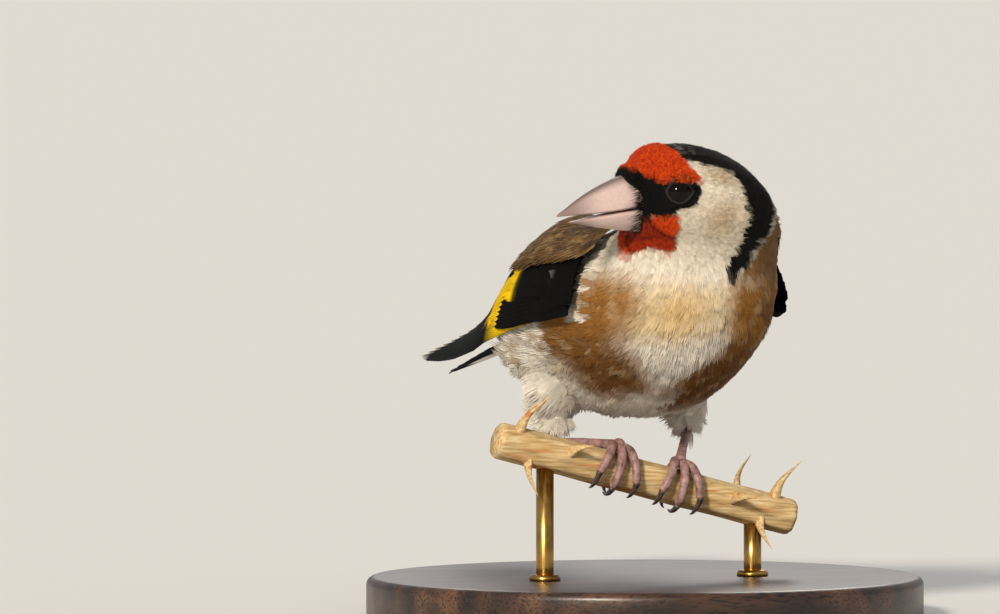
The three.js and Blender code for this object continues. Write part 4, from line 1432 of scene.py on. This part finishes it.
# Legs. The feet hold the stem, each at a place along X
STEM_WAY = np.array([math.cos(STEM_SLOPE), 0, -math.sin(STEM_SLOPE)])
STEM_UP = np.array([math.sin(STEM_SLOPE), 0, math.cos(STEM_SLOPE)])
STEM_FRONT = np.array([0.0, -1.0, 0.0])
STEM_ENDS = (-25.0, 21.0)
FOOT_X = {"right": -7.0, "left": 2.6}
HEEL = {"right": (-12.0, 7.4, 3.9), "left": (9.5, 8.0, 5.0)}
TOE_RADIUS = 0.72
TOE_PATH = STEM_RADIUS + 0.3 + TOE_RADIUS
CLAW_RADIUS = 0.5
CLAW_PATH = STEM_RADIUS + 0.3 + CLAW_RADIUS
TARSUS_RADIUS = 0.66
BALL_RADIUS = 1.04
# Toes: name, place along the stem at the root and the tip, and the turns round the stem, in
# degrees, that the toe and its claw reach
TOES = (
    ("inner", -0.9, -3.2, 105, 165),
    ("middle", 0.0, -0.3, 135, 195),
    ("outer", 0.9, 2.9, 110, 165),
    ("hind", 0.0, 0.3, -95, -165),
)


def beside_stem(x, along, turn, out):
    """Point beside the stem: along it, round it from its top to the front, and out."""
    drop = (x - FOOT_X["right"]) * math.tan(STEM_SLOPE)
    middle = np.array([x, STEM_POINT[1], STEM_HEIGHT - drop])
    away = STEM_UP * math.cos(turn) + STEM_FRONT * math.sin(turn)
    return middle + STEM_WAY * along + out * away


def curve_through(points, count):
    """Even points on a smooth curve through the given ones."""
    points = np.asarray(points, float)
    padded = np.concatenate([[2 * points[0] - points[1]], points, [2 * points[-1] - points[-2]]])
    place = np.linspace(0, len(points) - 1 - 1e-6, count)
    i = place.astype(int)
    t = (place - i)[:, None]
    return catmull_rom(*(padded[i + k] for k in range(4)), t)


def tube(path, radius, sides, squash=1.0, swell=None):
    """Rings round a path. Radius has one value for each point of it, and swell makes
    them larger by place and turn."""
    ways = unit(np.gradient(path, axis=0))
    guide = np.array([0.13, 0.21, 0.97])
    rings = []
    for k, (point, way) in enumerate(zip(path, ways)):
        guide = unit(guide - way * (guide @ way))
        other = np.cross(way, guide)
        turn = np.linspace(0, 2 * math.pi, sides, endpoint=False)
        reach = radius[k] * (1 if swell is None else swell(k / (len(path) - 1), turn))
        reach = np.broadcast_to(reach, turn.shape)[:, None]
        circle = guide * np.cos(turn)[:, None] + other * squash * np.sin(turn)[:, None]
        rings.append(point + reach * circle)
    return rings


def scutes(count, height):
    """Swell of a leg's or toe's scales: each rises along the limb to a small step."""
    return lambda t, turn: 1 + height * ((t * count) % 1) - 0.03


def leg_material():
    """Leg skin: pinkish brown, blotched, in dry overlapping scutes."""
    material, tree, shader = new_material("leg_scutes")
    where = add(tree, "ShaderNodeTexCoord").outputs["Object"]
    noise = add(tree, "ShaderNodeTexNoise", Vector=where, Scale=LEG_BLOTCHES, Detail=5.0)
    cells = add(tree, "ShaderNodeTexVoronoi", Vector=where, Scale=SCUTE_CELLS)
    ramp = add(tree, "ShaderNodeValToRGB", Fac=noise.outputs[0])
    set_ramp(ramp, (0.3, "#6a4841"), (0.5, "#94706a"), (0.72, "#b18d82"))
    scales = cells.outputs["Distance"]
    bump = add(tree, "ShaderNodeBump", Strength=0.45, Distance=0.00006, Height=scales)
    finish = {"Base Color": ramp.outputs[0], "Normal": bump.outputs[0], "Roughness": 0.48}
    connect(tree, shader, finish)
    return material


def claw_material():
    """Claw horn: dark grey brown, smooth and half glossy."""
    material, tree, shader = new_material("claw_horn")
    where = add(tree, "ShaderNodeTexCoord").outputs["Object"]
    noise = add(tree, "ShaderNodeTexNoise", Vector=where, Scale=CLAW_BLOTCHES)
    ramp = add(tree, "ShaderNodeValToRGB", Fac=noise.outputs[0])
    set_ramp(ramp, (0.35, "#2c211f"), (0.7, "#5b4a45"))
    connect(tree, shader, {"Base Color": ramp.outputs[0], "Roughness": 0.32})
    return material


def joined(name, parts):
    """One object from several, keeping the first one's material."""
    shape = bmesh.new()
    for part in parts:
        shape.from_mesh(part.data)
    material = parts[0].data.materials[0]
    mesh = bpy.data.meshes.new(name)
    shape.to_mesh(mesh)
    shape.free()
    for part in parts:
        bpy.data.objects.remove(part)
    made = placed(name, mesh)
    mesh.materials.append(material)
    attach(made, "root")
    return made


def make_toe(side, toe, toe_skin, horn):
    """One toe round the stem, returned to be joined to its foot, and its claw."""
    name, start, end, wrap, hook = toe
    x, mirror = FOOT_X[side], -1 if side == "left" else 1

    def toe_point(t):
        """Point of the toe's path, at share t."""
        along = mirror * (start + (end - start) * t)
        return beside_stem(x, along, math.radians(wrap) * max(t, 0.04), TOE_PATH)

    def claw_point(t):
        """Point of the claw's path, which leaves the toe and meets the stem."""
        sink = 0.25 if wrap > 0 else -0.25
        turn = math.radians(wrap + (hook - wrap) * t) - sink * (1 - t) * 0.3
        return beside_stem(x, mirror * end, turn, CLAW_PATH + 0.45 * (1 - t))

    path = curve_through([toe_point(t) for t in (0.0, 0.3, 0.55, 0.8, 1.0)], 56)
    place = np.linspace(0, 1, 56)
    pads = 1 + 0.09 * np.sin(place * 3 * math.pi) ** 2
    radius = TOE_RADIUS * (0.98 - 0.2 * place) * pads
    round_tip = np.sqrt(np.clip(1 - ((place - 0.93) / 0.075) ** 2, 0.1, 1))
    radius *= np.where(place > 0.93, round_tip, 1)
    made = ringed_solid("toe", tube(path, radius, 14, swell=scutes(15, 0.07)), toe_skin)

    hook_path = curve_through([claw_point(t) for t in (0, 0.35, 0.7, 1)], 20)
    thin = CLAW_RADIUS * np.linspace(1, 0.06, 20) ** 0.75
    claw = ringed_solid(f"horn_claw_{side}_{name}", tube(hook_path, thin, 12), horn)
    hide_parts(f"claw_{side}_{name}")
    return made


def make_feet():
    """Feet, claws and tarsi: each foot's toes and ball are one piece."""
    toe_skin, horn = leg_material(), claw_material()
    for side in ("right", "left"):
        ball = beside_stem(FOOT_X[side], 0, 0, TOE_PATH + 0.1)
        parts = [make_toe(side, toe, toe_skin, horn) for toe in TOES]
        turn = np.linspace(0, 2 * math.pi, 20, endpoint=False)
        rings = []
        for p in np.linspace(0.08, math.pi - 0.08, 14):
            x, y = math.sin(p) * np.cos(turn), math.sin(p) * np.sin(turn)
            rings.append(ball + BALL_RADIUS * np.stack([x, y, np.full(20, math.cos(p))], axis=-1))
        parts.append(ringed_solid("ball", rings, toe_skin))
        foot = joined(f"scaly_foot_{side}", parts)
        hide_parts(f"foot_{side}")

        heel = np.array(HEEL[side]) + [0, 0, STEM_HEIGHT]
        way = unit(ball - heel)
        bends = [
            heel + [0, 0.4, 1.2],
            heel + [0, 0.1, -0.2],
            heel + way * 1.3 + [0, 0, -0.25],
            heel + (ball - heel) * 0.5,
            ball - way * 0.7,
        ]
        path = curve_through(bends, 64)
        place = np.linspace(0, 1, 64)
        ankle = 0.35 * np.exp(-(((place - 0.2) / 0.1) ** 2))
        above_toes = 0.2 * np.exp(-(((place - 1) / 0.12) ** 2))
        radius = TARSUS_RADIUS * (1 + ankle + above_toes)
        rings = tube(path, radius, 16, swell=scutes(9, 0.06))
        shank = ringed_solid(f"scaly_tarsus_{side}", rings, toe_skin)
        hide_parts(f"tarsus_{side}")


# Spines: place along the stem, turn round it and length
SPINES = (
    (-22.5, 0.5, 6.5), (-20, 2.6, 5), (-18.5, -1.3, 6), (-14.5, 1.2, 4.5),
    (11, 1.4, 5), (12.5, -0.6, 6.5), (16, 2.4, 4.5), (17.5, 0.3, 6),
)


def stem_material():
    """Dry thistle stalk: straw coloured, silky with fine fibres along it, with orange
    brown veins in its grooves and grey weathered spots."""
    material, tree, shader = new_material("dry_thistle_stalk")
    where = add(tree, "ShaderNodeTexCoord").outputs["Object"]
    turned = add(
        tree,
        "ShaderNodeMapping",
        Vector=where,
        Rotation=(0, -STEM_SLOPE, 0),
        Scale=(0.05, 1.0, 1.0),
    )
    lined = turned.outputs[0]
    fibres = add(tree, "ShaderNodeTexNoise", Vector=lined, Scale=STALK_FIBRES, Detail=5.0)
    veins = add(tree, "ShaderNodeTexNoise", Vector=lined, Scale=STALK_VEINS, Detail=2.0)
    spots = add(tree, "ShaderNodeTexNoise", Vector=where, Scale=STALK_SPOTS, Detail=6.0)
    straw = add(tree, "ShaderNodeValToRGB", Fac=fibres.outputs[0])
    set_ramp(straw, (0.25, "#9a7a49"), (0.5, "#ccab74"), (0.75, "#e6d1a6"))
    vein = add(tree, "ShaderNodeValToRGB", Fac=veins.outputs[0])
    set_ramp(vein, (0.56, "#000000"), (0.66, "#ffffff"))
    tinted = add(
        tree, "ShaderNodeMix", {"data_type": "RGBA", "blend_type": "MIX"},
        _0=vein.outputs[0], _6=straw.outputs[0], _7=colour_of("#b6783a"),
    )
    spot = add(tree, "ShaderNodeValToRGB", Fac=spots.outputs[0])
    set_ramp(spot, (0.56, "#000000"), (0.68, "#8a8a8a"))
    weathered = add(
        tree, "ShaderNodeMix", {"data_type": "RGBA", "blend_type": "MIX"},
        _0=spot.outputs[0], _6=tinted.outputs[2], _7=colour_of("#8d8170"),
    )
    bump = add(tree, "ShaderNodeBump", Strength=0.6, Distance=0.00012, Height=fibres.outputs[0])
    finish = {"Base Color": weathered.outputs[2], "Normal": bump.outputs[0], "Roughness": 0.72}
    connect(tree, shader, finish)
    return material


def make_stem():
    """Fluted stalk with a few hooked, three-sided spines."""
    dry = stem_material()
    flutes, sides, count = 8, 96, 90
    rings = []
    span = (STEM_ENDS[1] - STEM_ENDS[0]) / math.cos(STEM_SLOPE)
    for t in np.linspace(0, 1, count):
        ring = []
        for turn in np.linspace(0, 2 * math.pi, sides, endpoint=False):
            groove = 0.97 + 0.03 * math.cos(turn * flutes) + 0.008 * math.sin(turn * 3 + t * 9)
            knot = 1 + 0.012 * math.sin(t * 23 + 2 * turn)
            edge = 0.94 if t in (0, 1) else 1
            out = STEM_RADIUS * groove * knot * edge
            ring.append(beside_stem(STEM_ENDS[0], t * span, turn, out))
        rings.append(ring)
    parts = [ringed_solid("stalk", rings, dry)]
    for x, turn, length in SPINES:
        reaches = ((0, -0.8), (0.3, 0.4 * length), (0.35 * length, length))
        bends = [beside_stem(x, along, turn, STEM_RADIUS + out) for along, out in reaches]
        radius = 0.06 + 1.15 * (1 - np.linspace(0, 1, 30)) ** 1.25
        rings = tube(
            curve_through(bends, 30), radius, 16, squash=0.6,
            swell=lambda t, a: 1 + 0.12 * np.cos(a * 3),
        )
        parts.append(ringed_solid("spine", rings, dry))
    made = joined("dry_stalk", parts)
    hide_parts("thistle_stem")


def wood_material():
    """Turned walnut, oiled: dark rings and pores that run one way across the disc."""
    material, tree, shader = new_material("turned_walnut")
    stretched = add(
        tree, "ShaderNodeMapping", Vector=add(tree, "ShaderNodeTexCoord").outputs["Object"],
        Rotation=(0, 0, math.radians(24)), Scale=(1.0, 7.0, 7.0),
    )
    run = stretched.outputs[0]
    rings = add(
        tree, "ShaderNodeTexNoise", Vector=run, Scale=WOOD_RINGS, Detail=8.0, Distortion=0.9
    )
    grain = add(
        tree, "ShaderNodeTexWave", {"wave_type": "BANDS", "bands_direction": "Y"},
        Vector=run, Scale=WOOD_BANDS, Distortion=6.0, Detail=4.0,
    )
    pores = add(tree, "ShaderNodeTexNoise", Vector=run, Scale=WOOD_PORES, Detail=3.0)
    mixed = add(
        tree, "ShaderNodeMix", {"data_type": "RGBA", "blend_type": "MIX"},
        _0=0.14, _6=rings.outputs[0], _7=grain.outputs["Color"],
    )
    ramp = add(tree, "ShaderNodeValToRGB", Fac=mixed.outputs[2])
    set_ramp(ramp, (0.3, "#24150c"), (0.5, "#432a1a"), (0.7, "#66452c"))
    dark = add(tree, "ShaderNodeValToRGB", Fac=pores.outputs[0])
    set_ramp(dark, (0.36, "#555555"), (0.5, "#ffffff"))
    pored = add(
        tree, "ShaderNodeMix", {"data_type": "RGBA", "blend_type": "MULTIPLY"},
        _0=1.0, _6=ramp.outputs[0], _7=dark.outputs[0],
    )
    bump = add(tree, "ShaderNodeBump", Strength=0.25, Distance=0.0001, Height=pores.outputs[0])
    finish = {
        "Base Color": pored.outputs[2],
        "Normal": bump.outputs[0],
        "Roughness": 0.38,
        "Coat Weight": 0.15,
        "Coat Roughness": 0.25,
    }
    connect(tree, shader, finish)
    return material


def brass_material():
    """Drawn brass rod: warm metal with fine lines along it and a little tarnish."""
    material, tree, shader = new_material("drawn_brass")
    where = add(tree, "ShaderNodeTexCoord").outputs["Object"]
    drawn = add(tree, "ShaderNodeMapping", Vector=where, Scale=(1.0, 1.0, 0.04))
    along = drawn.outputs[0]
    lines = add(tree, "ShaderNodeTexNoise", Vector=along, Scale=BRASS_LINES, Detail=2.0)
    tarnish = add(tree, "ShaderNodeTexNoise", Vector=where, Scale=BRASS_TARNISH, Detail=5.0)
    ramp = add(tree, "ShaderNodeValToRGB", Fac=tarnish.outputs[0])
    set_ramp(ramp, (0.35, "#8d6a33"), (0.6, "#c79c53"))
    rough = add(tree, "ShaderNodeMapRange", _0=lines.outputs[0], _1=0.3, _2=0.7, _3=0.2, _4=0.38)
    finish = {"Base Color": ramp.outputs[0], "Roughness": rough.outputs[0], "Metallic": 1.0}
    connect(tree, shader, finish)
    return material


BASE_RADIUS = 41.0
BASE_THICKNESS = 6.0
BASE_ROUNDING = 1.2
ROD_RADIUS = 1.3
COLLAR_RADIUS = 2.3
ROD_PLACES = (-17.5, 15.0)


def revolved(name, profile, middle, material, sides=128):
    """Solid of revolution about an upright axis, from (radius, height) in millimetres."""
    turn = np.linspace(0, 2 * math.pi, sides, endpoint=False)
    rings = []
    for r, z in profile:
        x, y = middle[0] + r * np.cos(turn), middle[1] + r * np.sin(turn)
        rings.append(np.stack([x, y, np.full(sides, z)], axis=-1))
    return ringed_solid(name, rings, material)


def make_stand():
    """Round base with a rounded upper edge, and two rods in collars that hold the stem."""
    wood, brass = wood_material(), brass_material()
    inner, below = BASE_RADIUS - BASE_ROUNDING, BASE_THICKNESS - BASE_ROUNDING
    edge = [
        (inner + BASE_ROUNDING * math.sin(a), below + BASE_ROUNDING * math.cos(a))
        for a in np.linspace(math.pi / 2, 0, 9)
    ]
    profile = [(0.2, 0), (BASE_RADIUS - 0.6, 0), (BASE_RADIUS, 0.6), *edge]
    profile += [(r, BASE_THICKNESS) for r in (30.0, 15.0, 0.2)]
    base = revolved("turned_base", profile, (0, 0), wood, 160)
    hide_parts("stand_base")
    for k, x in enumerate(ROD_PLACES):
        middle = (x, STEM_POINT[1])
        top = beside_stem(x, 0, math.pi, STEM_RADIUS - 0.5)[2]
        outline = [(ROD_RADIUS, z) for z in (BASE_THICKNESS - 0.5, BASE_THICKNESS + 2, top)]
        rod = revolved(f"brass_rod_{k + 1}", outline, middle, brass, 40)
        steps = (
            (ROD_RADIUS, 0), (COLLAR_RADIUS, 0), (COLLAR_RADIUS, 0.5),
            (COLLAR_RADIUS - 0.3, 0.9), (ROD_RADIUS, 0.9),
        )
        outline = [(r, BASE_THICKNESS + z) for r, z in steps]
        collar = revolved(f"brass_collar_{k + 1}", outline, middle, brass, 48)
        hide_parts(f"stand_rod_{k + 1}")


# Stage


def add_camera():
    """Far camera with a long lens, so that the picture's scale is the photo's."""
    azimuth, elevation = math.radians(CAMERA_AZIMUTH), math.radians(CAMERA_ELEVATION)
    right = np.array([math.cos(azimuth), math.sin(azimuth), 0])
    level = math.cos(elevation)
    look = np.array([-math.sin(azimuth) * level, math.cos(azimuth) * level, -math.sin(elevation)])
    up = np.cross(right, look)
    middle_column, middle_row = PICTURE[0] / 2, PICTURE[1] / 2
    target = right * (middle_column - ORIGIN_COLUMN) / PIXELS_PER_MM
    target = target + up * (STEM_POINT @ up + (STEM_ROW - middle_row) / PIXELS_PER_MM)
    camera = placed("camera", bpy.data.cameras.new("camera"))
    camera.data.sensor_width = SENSOR_WIDTH
    camera.data.lens = SENSOR_WIDTH * CAMERA_DISTANCE / (PICTURE[0] / PIXELS_PER_MM)
    camera.data.clip_start = 0.05
    camera.location = Vector((target - look * CAMERA_DISTANCE) * MM)
    camera.rotation_euler = Matrix((right, up, -look)).transposed().to_euler()
    bpy.context.scene.camera = camera


def add_stage():
    """Pale matt paper floor, under two soft suns and an even pale sky."""
    paper, tree, shader = new_material("pale_floor_paper")
    connect(tree, shader, {"Base Color": colour_of(FLOOR_COLOUR), "Roughness": 0.9})
    mesh = bpy.data.meshes.new("floor")
    shape = bmesh.new()
    bmesh.ops.create_circle(shape, cap_ends=True, segments=64, radius=FLOOR_RADIUS)
    shape.to_mesh(mesh)
    shape.free()
    floor = placed("floor", mesh)
    mesh.materials.append(paper)
    for name, way, power, width, tint in SUNS:
        light = placed(name, bpy.data.lights.new(name, "SUN"))
        light.data.energy = power
        light.data.angle = math.radians(width)
        light.data.color = tint
        light.rotation_euler = (-Vector(way)).to_track_quat("-Z", "Y").to_euler()
    world = bpy.data.worlds.new("studio")
    world.use_nodes = True
    sky = world.node_tree.nodes["Background"]
    connect(world.node_tree, sky, {"Color": SKY_COLOUR, "Strength": SKY_STRENGTH})
    bpy.context.scene.world = world
    bpy.context.scene.view_settings.view_transform = "Standard"
    bpy.context.scene.view_settings.look = "None"


skin = make_skin()
paint(skin, plumage_colours(vertex_array(skin.data) / MM))
feathers = feather_material("body_feather_barbs", 0.09, 0.03, 0.22)
flight = feather_material("flight_feather_vanes", 0.05, 0.0, 0.3)
make_coat()
for side in (-1, 1):
    make_wing(side)
    make_wing_covers(side)
make_tail()
make_bill()
make_bristles()
make_eyes()
make_feet()
make_stem()
make_stand()
add_camera()
add_stage()
